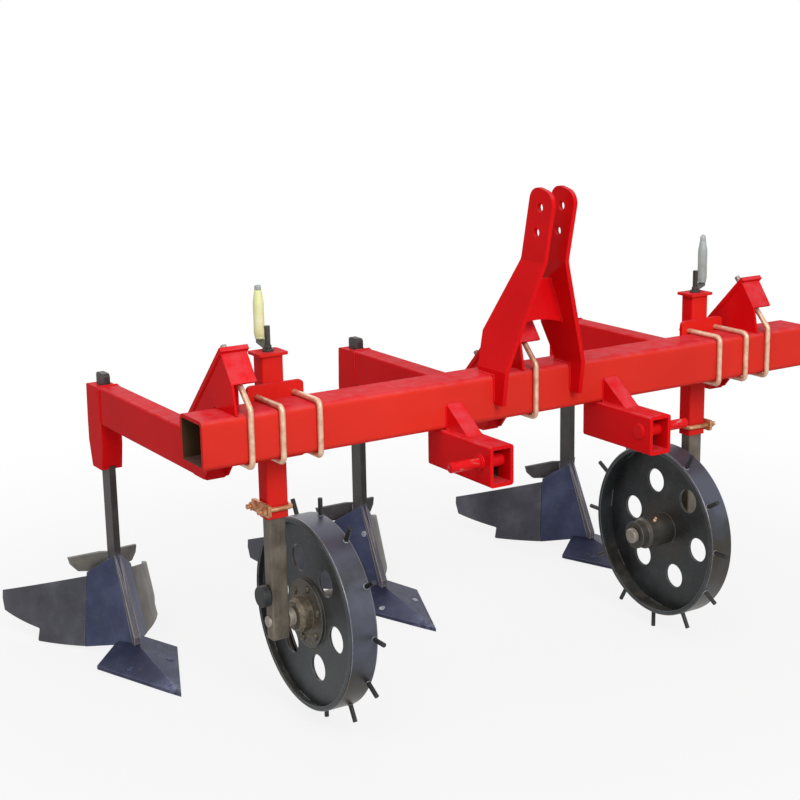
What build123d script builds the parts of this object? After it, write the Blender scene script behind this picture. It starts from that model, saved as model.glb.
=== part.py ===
"""Three-row ridging machine for a small tractor's three-point hitch.

Millimetres. X runs along the main beam, the tractor stands on the -Y side,
Z = 0 is the ground under the share points and the wheel spikes.
"""
import math
import os

from build123d import *

os.makedirs("parts", exist_ok=True)

# Main beam
beam_side = 100.0
beam_wall = 8.0
beam_corner = 12.0
beam_length = 1615.0
beam_left = 789.0
beam_bottom = 635.0
beam_top = beam_bottom + beam_side

# Rows and gauge wheels across the beam
row_spacing = 687.0
wheel_post_x = 576.0
hitch_x = 210.0

# Reach of the machine in front of and behind the beam's front face
hitch_reach = 172.0
tip_reach = 1052.0
rear_reach = 1046.9
beam_front = (hitch_reach - rear_reach) / 2

# Three-point mast
mast_plate = 10.0
ear_gap = 46.0
ear_half = 39.0
ear_holes = ((-62.0, 356.0), (-50.0, 303.0))
top_pin_radius = 9.75
mast_foot_x = 97.0
mast_bend = 240.0
mast_hook = 62.0
mast_front_low = -42.0
mast_rear_low = 57.0
mast_rear_mid = (74.0, 85.0)
mast_foot_rise = 20.0
mast_hook_in = 12.0
web_plate = 8.0
web_front = -8.0
web_low = 96.0
web_arch = 13.0
web_top = 197.0

# Lower hitch boxes and pins
box_wide = 58.0
box_tall = 86.0
box_wall = 8.0
box_back = 56.0
box_corner = 7.0
box_bore_corner = 2.0
hitch_pin_radius = 11.0
hitch_root_radius = 15.0
hitch_collar = 6.0
hitch_pin_out = 75.0
hitch_pin_tip = 2.0
hitch_root_in = 4.0
linch_radius = 4.0
linch_back = 14.0
hitch_pin_back = 36.0
hitch_pin_drop = 38.0
gusset_wide = 38.0
gusset_reach = 78.0
gusset_rise = 56.0

# Diagonal clamps and rear arms
clamp_wide = 56.0
clamp_plate = 6.0
seat_plate = 10.0
seat_over = 6.0
seat_bite = 4.0
clamp_apex_y = 56.0
clamp_apex_z = 114.0
vbolt_rod = 6.0
vbolt_off = 12.0
vbolt_stick = 19.0
vbolt_bend = 14.0
bolt_room = 0.5
cheek_toe_y = 4.0
cheek_nose = (16.0, 60.0)
cover_end = (16.0, 60.0)
seat_side = 3.0
foot_out = (24.0, 44.0)
foot_in = 40.0
foot_up = 4.0
cheek_low = 8.0
arm_wide = 50.0
arm_tall = 92.0
arm_wall = 5.0
arm_start = 165.0
arm_top_drop = 76.0
arm_corner = 7.0
arm_bore_corner = 2.0

# Shank holders
holder_front = 725.0
holder_deep = 80.0
holder_top_drop = 80.0
holder_tall = 200.0
holder_taper = 11.0
holder_swell = 4.0
holder_shoulder = 90.0
holder_neck = 62.0
holder_round = 5.0
holder_head = 9.0
holder_bolt_z = (552.0, 511.0)

# Shanks
shank_x = 16.0
shank_y = 46.0
shank_mid = 758.0
shank_top = 685.0
shank_foot = 62.0
shank_round = 9.0
foot_heel = (40.0, 40.0)
foot_sole = (14.0, 36.0)
foot_nose = 4.0
foot_rise = 178.0
shank_gap = 0.3

# Ridger bodies
board_plate = 6.0
ridge_low = (646.0, 57.0)
ridge_rake = 0.457
edge_low = (82.6, 774.5)
edge_lean = (-0.133, 0.127)
board_high = 260.0
board_outline = ((560.0, 68.0), (790.0, 10.0), (840.0, 10.0), (840.0, 178.0), (806.0, 186.0),
                 (728.0, 250.0), (560.0, 250.0))
share_tip = 401.0
share_half = 102.5
share_back = 647.0
share_neck = (33.0, 692.0)
share_plate = 9.0
share_nose = 8.0
share_heel = 14.0
crease_rise = 0.157
yoke_plate = 8.0
yoke_half = 88.0
yoke_sweep = 53.0
yoke_crest = (20.0, 238.0)
yoke_tip_high = 224.0
yoke_tip = (4.0, 206.0)
yoke_belly = (18.0, 190.0)

# Hinged wings
wing_plate = 5.0
wing_gap = 2.0
wing_mid = (160.5, 893.0)
wing_end = (203.0, 1032.13)
wing_high = 230.0
wing_round = 4.0
wing_root = (740.0, 202.0, 16.0)
wing_tip = (98.0, 25.0, 54.0)
wing_step = (892.0, 39.0, 8.0)
hinge_depth = 17.0
hinge_pin = 5.0
hinge_knuckle = 10.0
hinge_fit = 0.05
hinge_rod_out = 4.0
lug_from = 1.0
lug_wide = 12.0
lug_deep = 4.0
knuckle_low = (20.0, 60.0)
knuckle_mid = (64.0, 116.0)
knuckle_high = (120.0, 160.0)

# Gauge wheels, posts and jacks
sleeve_wide = 50.0
sleeve_deep = 40.0
sleeve_wall = 4.7
sleeve_corner = 6.0
bore_corner = 1.5
sleeve_mid = 128.0
sleeve_low = 477.0
sleeve_high = 820.0
cap_over = 8.0
cap_plate = 6.0
cap_corner = 5.0
saddle_wide = 128.0
saddle_plate = 8.0
saddle_over = 30.0
saddle_corner = 10.0
ubolt_rod = 6.0
ubolt_half = 42.0
ubolt_bend = 12.0
ubolt_stick = 10.0
lock_rod = 5.0
lock_bend = 9.0
lock_up = 22.0
lock_strap_tall = 26.0
lock_strap_plate = 7.0
lock_strap_over = 18.0
lock_nut = (9.0, 17.0)
lock_stick = 18.0
post_wide = 40.0
post_deep = 30.0
post_wall = 4.0
post_corner = 4.0
post_under = 39.0
post_high = 720.0
post_nut = 40.0
axle_radius = 12.0
axle_fit = 0.05
axle_out = 6.0
axle_tip = 8.0
axle_shoulder = 8.0
axle_collar = (6.0, 13.0)
axle_room = 1.0
stop_up = 58.0
stop_radius = 23.0
stop_long = 22.0
stop_round = 5.0
stop_stem = 8.0
stop_aside = 2.0
wheel_radius = 210.0
spike_long = 38.0
axle_z = wheel_radius + spike_long
post_low = axle_z - post_under
rim_wide = 64.0
rim_wall = 6.0
rim_inner_x = 456.0
disc_x = 500.0
rim_bead = 5.0
rim_bevel = 3.0
disc_plate = 6.0
window_radius = 29.0
window_circle = 119.0
hub_radius = 38.0
hub_flange = 74.0
flange_plate = 8.0
hub_nose = (30.0, 6.0)
hub_shoulder = (26.0, 20.0, 5.0)
window_count = 6
window_turn = 12.0
hub_in_x = 400.0
hub_out_x = 540.0
spike_radius = 5.0
spike_in = 10.0
spike_root = 1.0
spike_count = 12
screw_radius = 8.0
screw_fit = 0.05
screw_low = 560.0
neck_radius = 6.0
neck_high = 52.0
screw_collar = 12.0
collar_room = 0.5
collar_under = 8.5
collar_over = 5.0
crank_throw = 70.0
crank_turn = {-1: 76.0, 1: 34.0}
crank_wide = 16.0
crank_plate = 7.0
spindle_radius = 4.0
spindle_fit = 0.1
grip_room = 0.5
grip_radius = 11.4
grip_waist = 2.0
grip_neck = 4.5
grip_long = 102.0
knob_radius = 6.5
knob_tall = 9.0

# Steel fasteners
nut_flats = 19.0
nut_tall = 10.0
washer_radius = 13.0
washer_tall = 2.5


def face_of(points):
    return make_face(Polyline(*points, close=True))


def side_plate(points, x_from, thick, round_off=0.0, rounded=None):
    """Plate whose outline is drawn in side view: distance behind the beam's front face, height."""
    flat = face_of(points)
    if round_off:
        corners = flat.vertices()
        if rounded is not None:
            kept = [points[i] for i in rounded]
            corners = [c for c in corners if any(math.dist((c.X, c.Y), k) < 0.01 for k in kept)]
        flat = fillet(corners, round_off)
    return Pos(x_from, beam_front, 0) * extrude(Plane.YZ * flat, thick)


def band(points, thick):
    """Outline of a bent strip of one thickness that follows a line, laid to the line's right."""
    near = []
    far = []
    for i, (a, b) in enumerate(points):
        steps = []
        if i > 0:
            steps.append((a - points[i - 1][0], b - points[i - 1][1]))
        if i < len(points) - 1:
            steps.append((points[i + 1][0] - a, points[i + 1][1] - b))
        norms = [(q / math.hypot(p, q), -p / math.hypot(p, q)) for p, q in steps]
        mx = sum(n[0] for n in norms)
        my = sum(n[1] for n in norms)
        size = thick / (mx * norms[0][0] + my * norms[0][1])
        near.append((a, b))
        far.append((a + mx * size, b + my * size))
    return near + far[::-1]


def hex_nut(along, centre, tall=nut_tall, flats=nut_flats):
    """Hexagon nut standing at a point, its axis along a direction."""
    seat = Plane(origin=centre, z_dir=along)
    return extrude(seat * RegularPolygon(flats / math.sqrt(3), 6), tall)


def rod(start, end, radius):
    way = Vector(*end) - Vector(*start)
    return extrude(Plane(origin=start, z_dir=way) * Circle(radius), way.length)


def save(name, shape):
    export_step(shape, f"parts/{name}.step")


def flip(shape, side):
    """The +X piece as drawn, or its mirror image on the -X side."""
    return shape if side > 0 else mirror(shape, Plane.YZ)


# Main beam: square tube with rounded corners, open at both ends
beam_skin = RectangleRounded(beam_side, beam_side, beam_corner)
beam_bore = RectangleRounded(beam_side - 2 * beam_wall, beam_side - 2 * beam_wall, beam_corner - beam_wall)
beam_mid = (-beam_left, beam_front + beam_side / 2, beam_bottom + beam_side / 2)
main_beam = Pos(*beam_mid) * extrude(Plane.YZ * (beam_skin - beam_bore), beam_length)
save("main_beam", main_beam)

# Mast: two bent plates, parallel at the ears and spread at the foot, hooked over the beam
ear_in = ear_gap / 2
lean = (ear_holes[1][0] - ear_holes[0][0], ear_holes[1][1] - ear_holes[0][1])
lean_size = math.hypot(*lean)
down = (lean[0] / lean_size, lean[1] / lean_size)
across = (-down[1], down[0])


def ear_point(along, aside):
    hole = ear_holes[0]
    return (hole[0] + down[0] * along + across[0] * aside,
            beam_top + hole[1] + down[1] * along + across[1] * aside)


ear_end = (ear_holes[0][1] - mast_bend) / -down[1]
mast_side = [
    ear_point(-ear_half, -ear_half),
    ear_point(-ear_half, ear_half),
    ear_point(ear_end, ear_half),
    (mast_rear_mid[0], beam_top + mast_rear_mid[1]),
    (mast_rear_low, beam_top),
    (0.0, beam_top),
    (0.0, beam_top - mast_hook),
    (mast_front_low + mast_hook_in, beam_top - mast_hook),
    (mast_front_low, beam_top + mast_foot_rise),
    ear_point(ear_end, -ear_half),
]
mast_outline = side_plate(mast_side, -beam_length, 2 * beam_length, ear_half * 0.75, (0, 1))
mast_foot_bend = mast_plate
bend_line = [
    (ear_in, beam_top + ear_holes[0][1] + 2 * ear_half),
    (ear_in, beam_top + mast_bend),
    (mast_foot_x, beam_top + mast_foot_bend),
    (mast_foot_x, beam_top - 2 * mast_hook),
]
mast_front = face_of(band(bend_line, -mast_plate))
mast_strip = extrude(Plane.XZ * mast_front, beam_length, both=True)
mast_right = mast_strip & mast_outline
for hole_y, hole_z in ear_holes:
    spot = Pos(0, beam_front + hole_y, beam_top + hole_z)
    mast_right -= spot * Rot(0, 90, 0) * Cylinder(top_pin_radius, 8 * ear_gap)
save("mast_plate_right", mast_right)
save("mast_plate_left", flip(mast_right, -1))

# Mast web: upright cross plate between the two mast plates, arched below
spread = (mast_foot_x - ear_in) / (mast_bend - mast_foot_bend)


def inside_x(height):
    return ear_in + (mast_bend - height) * spread


low_half = inside_x(web_low)
top_half = inside_x(web_top)
web_arc = ThreePointArc((-low_half, web_low), (0, web_low + web_arch), (low_half, web_low))
web_rim = Polyline((low_half, web_low), (top_half, web_top), (-top_half, web_top), (-low_half, web_low))
web_face = make_face([web_arc, web_rim])
mast_web = Pos(0, beam_front + web_front + web_plate, beam_top) * extrude(Plane.XZ * web_face, web_plate)
save("mast_web", mast_web)

# Lower hitch boxes: square-cornered tube under the beam, open in front, with a through pin
box_mid_z = beam_bottom - box_tall / 2
pin_y = beam_front - hitch_reach + hitch_pin_back
pin_z = beam_bottom - hitch_pin_drop
box_ring = RectangleRounded(box_wide, box_tall, box_corner)
box_ring -= RectangleRounded(box_wide - 2 * box_wall, box_tall - 2 * box_wall, box_bore_corner)
box_long = hitch_reach + box_back
hitch_box = Pos(hitch_x, beam_front + box_back, box_mid_z) * extrude(Plane.XZ * box_ring, box_long)
pin_hole = Pos(hitch_x, pin_y, pin_z) * Rot(0, 90, 0) * Cylinder(hitch_root_radius, 2 * box_wide)
hitch_box -= pin_hole
save("hitch_box_right", hitch_box)
save("hitch_box_left", flip(hitch_box, -1))

pin_from = (hitch_x - box_wide / 2 - hitch_root_in, pin_y, pin_z)
pin_collar = (hitch_x + box_wide / 2 + hitch_collar, pin_y, pin_z)
pin_to = (hitch_x + box_wide / 2 + hitch_pin_out, pin_y, pin_z)
hitch_pin = rod(pin_collar, pin_to, hitch_pin_radius)
hitch_pin = chamfer(hitch_pin.edges().filter_by(GeomType.CIRCLE).sort_by(Axis.X)[-1], hitch_pin_tip)
hitch_pin += rod(pin_from, pin_collar, hitch_root_radius)
hitch_pin -= Pos(pin_to[0] - linch_back, pin_y, pin_z) * Cylinder(linch_radius, 4 * hitch_root_radius)
hitch_pins = Compound([hitch_pin, flip(hitch_pin, -1)])
save("hitch_pins", hitch_pins)

gusset = side_plate([(0, beam_bottom + gusset_rise), (0, beam_bottom), (-gusset_reach, beam_bottom)],
                    hitch_x - gusset_wide / 2, gusset_wide)
hitch_gussets = Compound([gusset, flip(gusset, -1)])
save("hitch_gussets", hitch_gussets)

# Diagonal clamps: triangular seat on the beam's top rear corner, drawn down by one bent bolt
seat_sum = clamp_apex_y + clamp_apex_z
arm_top = beam_top - arm_top_drop
arm_low = arm_top - arm_tall
foot_y = seat_sum + arm_top_drop
cheek_foot = [
    (foot_y, arm_top),
    (foot_y + foot_out[0], arm_top - foot_out[1]),
    (foot_y - foot_in, arm_low + foot_up),
    (arm_start - foot_up, arm_low + foot_up),
    (beam_side, beam_bottom + cheek_low),
]
cheek = [
    (beam_side, beam_top),
    (cheek_toe_y, beam_top),
    (cheek_nose[0], beam_top + cheek_nose[1]),
    (clamp_apex_y, beam_top + clamp_apex_z),
] + cheek_foot
far_cheek = [(beam_side, beam_top + seat_sum - beam_side)] + cheek_foot
seat_line = [
    (clamp_apex_y - seat_over, beam_top + clamp_apex_z + seat_over),
    (foot_y + seat_bite, arm_top - seat_bite),
]
cover_line = [(clamp_apex_y, beam_top + clamp_apex_z), (cover_end[0], beam_top + cover_end[1])]
leg_step = vbolt_off / math.sqrt(2)
seat_shift = seat_plate / math.sqrt(2)


def rising(y_from, z_from, far):
    return (y_from + far, z_from + far)


upper_leg = (-leg_step, beam_top + leg_step)
lower_leg = (beam_side + leg_step, beam_bottom - leg_step)
leg_run = seat_sum / 2
upper_exit = rising(*upper_leg, leg_run)
lower_exit = rising(*lower_leg, leg_run)


def diagonal_clamp(x):
    half = clamp_wide / 2
    body = side_plate(cheek, x - half, clamp_plate)
    body += side_plate(far_cheek, x + half - clamp_plate, clamp_plate)
    body += side_plate(band(seat_line, -seat_plate), x - half - seat_side, clamp_wide + 2 * seat_side)
    body += side_plate(band(cover_line, -clamp_plate), x - half, clamp_wide)
    for exit_y, exit_z in (upper_exit, lower_exit):
        start = (x, beam_front + exit_y - clamp_wide, exit_z - clamp_wide)
        stop = (x, beam_front + exit_y + clamp_wide, exit_z + clamp_wide)
        body -= rod(start, stop, vbolt_rod + bolt_room)
    return body


arm_cap = RectangleRounded(arm_wide, arm_tall, arm_corner)
arm_ring = arm_cap - RectangleRounded(arm_wide - 2 * arm_wall, arm_tall - 2 * arm_wall, arm_bore_corner)
arm_mid_z = (arm_top + arm_low) / 2
arm_long = holder_front - arm_start


def rear_arm(x):
    tube = Pos(x, beam_front + holder_front, arm_mid_z) * extrude(Plane.XZ * arm_ring, arm_long)
    lid = Pos(x, beam_front + arm_start + arm_wall, arm_mid_z) * extrude(Plane.XZ * arm_cap, arm_wall)
    return tube + lid


# Shank holders: upright sockets at the arm ends, drawn in at the lower end
holder_top = beam_top - holder_top_drop
holder_low = holder_top - holder_tall
holder_back = holder_front + holder_deep
holder_side = [
    (holder_front, holder_top),
    (holder_back, holder_top),
    (holder_back + holder_swell, holder_top - holder_shoulder),
    (holder_back + holder_swell, holder_low + holder_neck),
    (holder_back - holder_taper, holder_low),
    (holder_front + holder_taper, holder_low),
    (holder_front, holder_low + holder_neck),
]


def shank_holder(x):
    block = side_plate(holder_side, x - arm_wide / 2, arm_wide, holder_round, (1, 2, 3, 4, 5))
    slot = Rectangle(shank_x + 2 * shank_gap, shank_y + 2 * shank_gap)
    block -= Pos(x, beam_front + shank_mid, holder_low - arm_wall) * extrude(slot, holder_tall + 2 * arm_wall)
    for height in holder_bolt_z:
        tip = (x, beam_front + shank_mid + shank_y / 2 + shank_gap, height)
        block -= rod(tip, (x, beam_front + holder_back + holder_deep, height), vbolt_rod)
    return block


rows = {"left": -row_spacing, "middle": 0.0, "right": row_spacing}
vbolts = []
vnuts = []
holder_bolts = []
for row, x in rows.items():
    clamp = diagonal_clamp(x)
    arm = rear_arm(x)
    save(f"carrier_{row}", clamp + arm)
    save(f"holder_{row}", shank_holder(x))
    line = [
        rising(*upper_exit, seat_shift + vbolt_stick),
        (-vbolt_rod, beam_top + 2 * leg_step - vbolt_rod),
        (-vbolt_rod, beam_bottom - vbolt_rod),
        (beam_side + 2 * leg_step - vbolt_rod, beam_bottom - vbolt_rod),
        rising(*lower_exit, seat_shift + vbolt_stick),
    ]
    path = FilletPolyline(*[(x, beam_front + a, b) for a, b in line], radius=vbolt_bend)
    ring = Plane(origin=path @ 0, z_dir=path % 0) * Circle(vbolt_rod)
    vbolts.append(sweep(ring, path))
    for exit_y, exit_z in (upper_exit, lower_exit):
        face_y, face_z = rising(exit_y, exit_z, seat_plate / math.sqrt(2))
        seat = (x, beam_front + face_y, face_z)
        washer = extrude(Plane(origin=seat, z_dir=(0, 1, 1)) * Circle(washer_radius), washer_tall)
        nut_y, nut_z = rising(face_y, face_z, washer_tall / math.sqrt(2))
        nut = hex_nut((0, 1, 1), (x, beam_front + nut_y, nut_z))
        inner = (x, beam_front + exit_y - clamp_wide, exit_z - clamp_wide)
        outer = (x, beam_front + exit_y + clamp_wide, exit_z + clamp_wide)
        shaft = rod(inner, outer, vbolt_rod)
        vnuts.append((washer + nut) - shaft)
    for height in holder_bolt_z:
        tip = (x, beam_front + shank_mid + shank_y / 2 + shank_gap, height)
        head_y = beam_front + holder_back + holder_swell
        bolt = rod(tip, (x, head_y + holder_head / 2, height), vbolt_rod)
        bolt += hex_nut((0, 1, 0), (x, head_y, height), holder_head)
        holder_bolts.append(bolt)
save("v_bolts", Compound(vbolts))
save("v_bolt_nuts", Compound(vnuts))
save("holder_bolts", Compound(holder_bolts))


# Ridger bodies: raked V of two mouldboards behind one front ridge
def ridge_y(height):
    return ridge_low[0] + (height - ridge_low[1]) * ridge_rake


def edge_at(height):
    return (edge_low[0] + edge_lean[0] * height, edge_low[1] + edge_lean[1] * height)


def board_section(height):
    ex, ey = edge_at(height)
    line = [(ex, ey), (0.0, ridge_y(height)), (-ex, ey)]
    return Pos(0, beam_front, height) * face_of(band(line, board_plate))


edge_dir = Vector(edge_lean[0], edge_lean[1], 1.0)
low_x, low_y = edge_low
sweep_x = low_x
sweep_y = low_y - ridge_y(0)
sweep_size = math.hypot(sweep_x, sweep_y)
out_dir = (sweep_x / sweep_size, sweep_y / sweep_size)
in_dir = (-out_dir[1], out_dir[0])


def hinge_at(height, outward=0.0, depth=hinge_depth):
    ex, ey = edge_at(height)
    return (ex + out_dir[0] * outward + in_dir[0] * depth,
            beam_front + ey + out_dir[1] * outward + in_dir[1] * depth,
            height)


def knuckle(span, radius=hinge_knuckle):
    return rod(hinge_at(span[0]), hinge_at(span[1]), radius)


def lug(span, outward_from, outward_to, depth_from, depth_to):
    """Web between a plate and its hinge knuckle, leaning with the hinge."""
    lows = [hinge_at(span[0], a, d) for a, d in ((outward_from, depth_from), (outward_to, depth_from),
                                                 (outward_to, depth_to), (outward_from, depth_to))]
    flat = face_of([(p[0], p[1], p[2]) for p in lows])
    return extrude(flat, (span[1] - span[0]) * edge_dir.length, dir=edge_dir)


board_trim = side_plate(board_outline, -row_spacing / 2, row_spacing)
boards = loft([board_section(0), board_section(board_high)], ruled=True) & board_trim
wing_hinge = None
for span in (knuckle_low, knuckle_high):
    piece = knuckle(span) + lug(span, -lug_from - lug_wide, -lug_from, lug_deep, hinge_depth)
    wing_hinge = piece if wing_hinge is None else wing_hinge + piece
pin_bore = rod(hinge_at(0), hinge_at(board_high), hinge_pin)
wing_hinge -= pin_bore
boards = boards + wing_hinge + mirror(wing_hinge, Plane.YZ)

rod_low = hinge_at(knuckle_low[0] - hinge_rod_out)
rod_high = hinge_at(knuckle_high[1] + hinge_rod_out)
hinge_rod = rod(rod_low, rod_high, hinge_pin)
hinge_rods = [hinge_rod, mirror(hinge_rod, Plane.YZ)]

# Share: two slanting blades that meet in a centre crease, worked to a point
blade_fall = (share_nose + (share_back - share_tip) * crease_rise - share_heel) / share_half


def blade_point(x, y):
    return (x, beam_front + y, share_nose + (y - share_tip) * crease_rise - blade_fall * x)


blade_top = face_of([blade_point(0, share_tip), blade_point(share_half, share_back),
                     blade_point(*share_neck), blade_point(0, share_neck[1])])
blade = extrude(blade_top, share_plate, dir=(0, 0, -1))
share = blade + mirror(blade, Plane.YZ)
share -= Pos(0, beam_front + share_back, -beam_side / 2) * Box(row_spacing, row_spacing, beam_side)
boards -= share

# Shank with its foot, which fills the throat of the mouldboards down to the share
shank_front = shank_mid - shank_y / 2
shank_back = shank_mid + shank_y / 2
shank_side = [
    (shank_front, shank_top),
    (shank_back, shank_top),
    (shank_back, shank_foot + foot_heel[1]),
    (shank_back - foot_heel[0], shank_foot - foot_sole[0]),
    (ridge_low[0] - foot_nose, shank_foot - foot_sole[1]),
    (ridge_low[0] - foot_nose, shank_foot),
    (shank_front, shank_foot + foot_rise),
]
shank = side_plate(shank_side, -shank_x / 2, shank_x, shank_round, (0, 1))
shank = shank - boards
shank = shank - share
shank = max(shank.solids(), key=lambda s: s.volume)

# Yoke: swept cross plate behind the shank, over the mouldboards
yoke_y = shank_back + yoke_plate
yoke_line = [(yoke_half, yoke_y + yoke_sweep), (0.0, yoke_y), (-yoke_half, yoke_y + yoke_sweep)]
yoke_tall = yoke_crest[1] - yoke_belly[1]
yoke_wide = Pos(0, beam_front, yoke_belly[1] - yoke_plate) * extrude(
    face_of(band(yoke_line, -yoke_plate)), yoke_tall + 2 * yoke_plate)
yoke_edge = [(yoke_crest[0], yoke_crest[1]), (yoke_half, yoke_tip_high),
             (yoke_half - yoke_tip[0], yoke_tip[1]), (yoke_half - yoke_belly[0], yoke_belly[1])]
yoke_front = yoke_edge + [(-x, z) for x, z in reversed(yoke_edge)]
yoke_mask = extrude(Plane.XZ * face_of(yoke_front), beam_length, both=True)
yoke = yoke_wide & yoke_mask
yoke -= Pos(0, beam_front + shank_mid, yoke_crest[1]) * Box(shank_x, shank_y, 4 * yoke_tall)

# Wings: curved plates hinged on the outer edges of the mouldboards
start_x, start_y = low_x + out_dir[0] * wing_gap, low_y + out_dir[1] * wing_gap
turn_in = (-(wing_end[1] - start_y), wing_end[0] - start_x)
turn_size = math.hypot(*turn_in)
wing_in = (turn_in[0] / turn_size * wing_plate, turn_in[1] / turn_size * wing_plate)
wing_face_out = ThreePointArc((start_x, start_y), wing_mid, wing_end)
wing_face_in = ThreePointArc((start_x + wing_in[0], start_y + wing_in[1]),
                             (wing_mid[0] + wing_in[0], wing_mid[1] + wing_in[1]),
                             (wing_end[0] + wing_in[0], wing_end[1] + wing_in[1]))
wing_ends = [Line(wing_face_out @ 0, wing_face_in @ 0), Line(wing_face_out @ 1, wing_face_in @ 1)]
wing_plan = make_face([wing_face_out, wing_face_in] + wing_ends)
wing_sheet = extrude(Pos(0, beam_front, 0) * wing_plan, wing_high * edge_dir.length, dir=edge_dir)
wing_side = [
    (wing_root[0], wing_root[1]),
    (tip_reach, wing_tip[0]),
    (tip_reach - wing_tip[1], wing_tip[2]),
    (wing_step[0], wing_step[1]),
    (wing_step[0], wing_step[2]),
    (wing_root[0], wing_root[2]),
]
wing_trim = side_plate(wing_side, -row_spacing / 2, row_spacing, wing_round, (1, 2, 3, 4))
wing = wing_sheet & wing_trim
tab_from = wing_gap + lug_from
wing_tab = knuckle(knuckle_mid) + lug(knuckle_mid, tab_from, tab_from + lug_wide, lug_deep, hinge_depth)
wing_tab -= rod(hinge_at(0), hinge_at(board_high), hinge_pin + hinge_fit)
wing = wing + wing_tab

for row, x in rows.items():
    place = Pos(x, 0, 0)
    save(f"shank_{row}", place * shank)
    save(f"mouldboards_{row}", Compound([place * boards] + [place * r for r in hinge_rods]))
    save(f"share_{row}", place * share)
    save(f"yoke_{row}", place * yoke)
    save(f"wing_{row}_right", place * wing)
    save(f"wing_{row}_left", place * mirror(wing, Plane.YZ))

# Wheel sleeves: square tube on a saddle plate, clamped to the back of the beam
sleeve_ring = RectangleRounded(sleeve_wide, sleeve_deep, sleeve_corner)
sleeve_ring -= RectangleRounded(sleeve_wide - 2 * sleeve_wall, sleeve_deep - 2 * sleeve_wall, bore_corner)
sleeve_y = beam_front + sleeve_mid
sleeve_tall = sleeve_high - sleeve_low
sleeve = Pos(wheel_post_x, sleeve_y, sleeve_low) * extrude(sleeve_ring, sleeve_tall)
saddle_tall = beam_side + 2 * saddle_over
saddle = Pos(wheel_post_x, beam_front + beam_side + saddle_plate, beam_bottom + beam_side / 2) * extrude(
    Plane.XZ * RectangleRounded(saddle_wide, saddle_tall, saddle_corner), saddle_plate)
for dx in (-ubolt_half, ubolt_half):
    for z in (beam_bottom - ubolt_rod, beam_top + ubolt_rod):
        start = (wheel_post_x + dx, beam_front + beam_side - saddle_plate, z)
        stop = (wheel_post_x + dx, beam_front + beam_side + 2 * saddle_plate, z)
        saddle -= rod(start, stop, ubolt_rod + bolt_room)
cap_flat = RectangleRounded(sleeve_wide + 2 * cap_over, sleeve_deep + 2 * cap_over, cap_corner)
cap = Pos(wheel_post_x, sleeve_y, sleeve_high) * extrude(cap_flat, cap_plate)
cap -= Pos(wheel_post_x, sleeve_y, sleeve_high) * Cylinder(neck_radius + screw_fit, 4 * cap_plate)
sleeve_unit = sleeve + saddle + cap
save("wheel_sleeve_right", sleeve_unit)
save("wheel_sleeve_left", flip(sleeve_unit, -1))

ubolts = []
unuts = []
for side in (-1, 1):
    for dx in (-ubolt_half, ubolt_half):
        x = side * wheel_post_x + dx
        back = beam_front + beam_side + saddle_plate + nut_tall + ubolt_stick
        front = beam_front - ubolt_rod
        high = beam_top + ubolt_rod
        low = beam_bottom - ubolt_rod
        bends = [(x, back, high), (x, front, high), (x, front, low), (x, back, low)]
        path = FilletPolyline(*bends, radius=ubolt_bend)
        ring = Plane(origin=path @ 0, z_dir=path % 0) * Circle(ubolt_rod)
        ubolts.append(sweep(ring, path))
        for z in (low, high):
            seat_y = beam_front + beam_side + saddle_plate
            nut = hex_nut((0, 1, 0), (x, seat_y, z))
            nut -= rod((x, seat_y - nut_tall, z), (x, seat_y + 2 * nut_tall, z), ubolt_rod)
            unuts.append(nut)
save("u_bolts", Compound(ubolts))
save("u_bolt_nuts", Compound(unuts))

# Post locks: small U-bolts round the sleeve ends with their nuts on the outer side
lock_z = sleeve_low + lock_up
lock_face = wheel_post_x + sleeve_wide / 2
lock_flat = RectangleRounded(sleeve_deep + 2 * lock_strap_over, lock_strap_tall, lock_rod)
lock_strap = Pos(lock_face, sleeve_y, lock_z) * extrude(Plane.YZ * lock_flat, lock_strap_plate)
lock_half = sleeve_deep / 2 + lock_rod
lock_in = wheel_post_x - sleeve_wide / 2 - lock_rod
lock_out = lock_face + lock_strap_plate + lock_stick
lock_way = FilletPolyline((lock_out, sleeve_y - lock_half, lock_z), (lock_in, sleeve_y - lock_half, lock_z),
                          (lock_in, sleeve_y + lock_half, lock_z), (lock_out, sleeve_y + lock_half, lock_z),
                          radius=lock_bend)
lock_hoop = sweep(Plane(origin=lock_way @ 0, z_dir=lock_way % 0) * Circle(lock_rod), lock_way)
lock_nuts = None
for dy in (-lock_half, lock_half):
    nut = hex_nut((1, 0, 0), (lock_face + lock_strap_plate, sleeve_y + dy, lock_z), *lock_nut)
    lock_nuts = nut if lock_nuts is None else lock_nuts + nut
post_lock = lock_hoop + (lock_strap + lock_nuts)
save("post_locks", Compound([post_lock, flip(post_lock, -1)]))

# Posts: square tubes with the jack's nut block in the top and the wheel axle across the foot
post_ring = RectangleRounded(post_wide, post_deep, post_corner)
post_bore = RectangleRounded(post_wide - 2 * post_wall, post_deep - 2 * post_wall, bore_corner)
post_ring -= post_bore
post_tall = post_high - post_low
post = Pos(wheel_post_x, sleeve_y, post_low) * extrude(post_ring, post_tall)
nut_block = Pos(wheel_post_x, sleeve_y, post_high - post_nut) * extrude(post_bore, post_nut)
nut_block -= Pos(wheel_post_x, sleeve_y, post_high) * Cylinder(screw_radius + screw_fit, 4 * post_nut)
post += nut_block
post -= Pos(wheel_post_x, sleeve_y, axle_z) * Rot(0, 90, 0) * Cylinder(axle_radius, 2 * post_wide)

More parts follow.
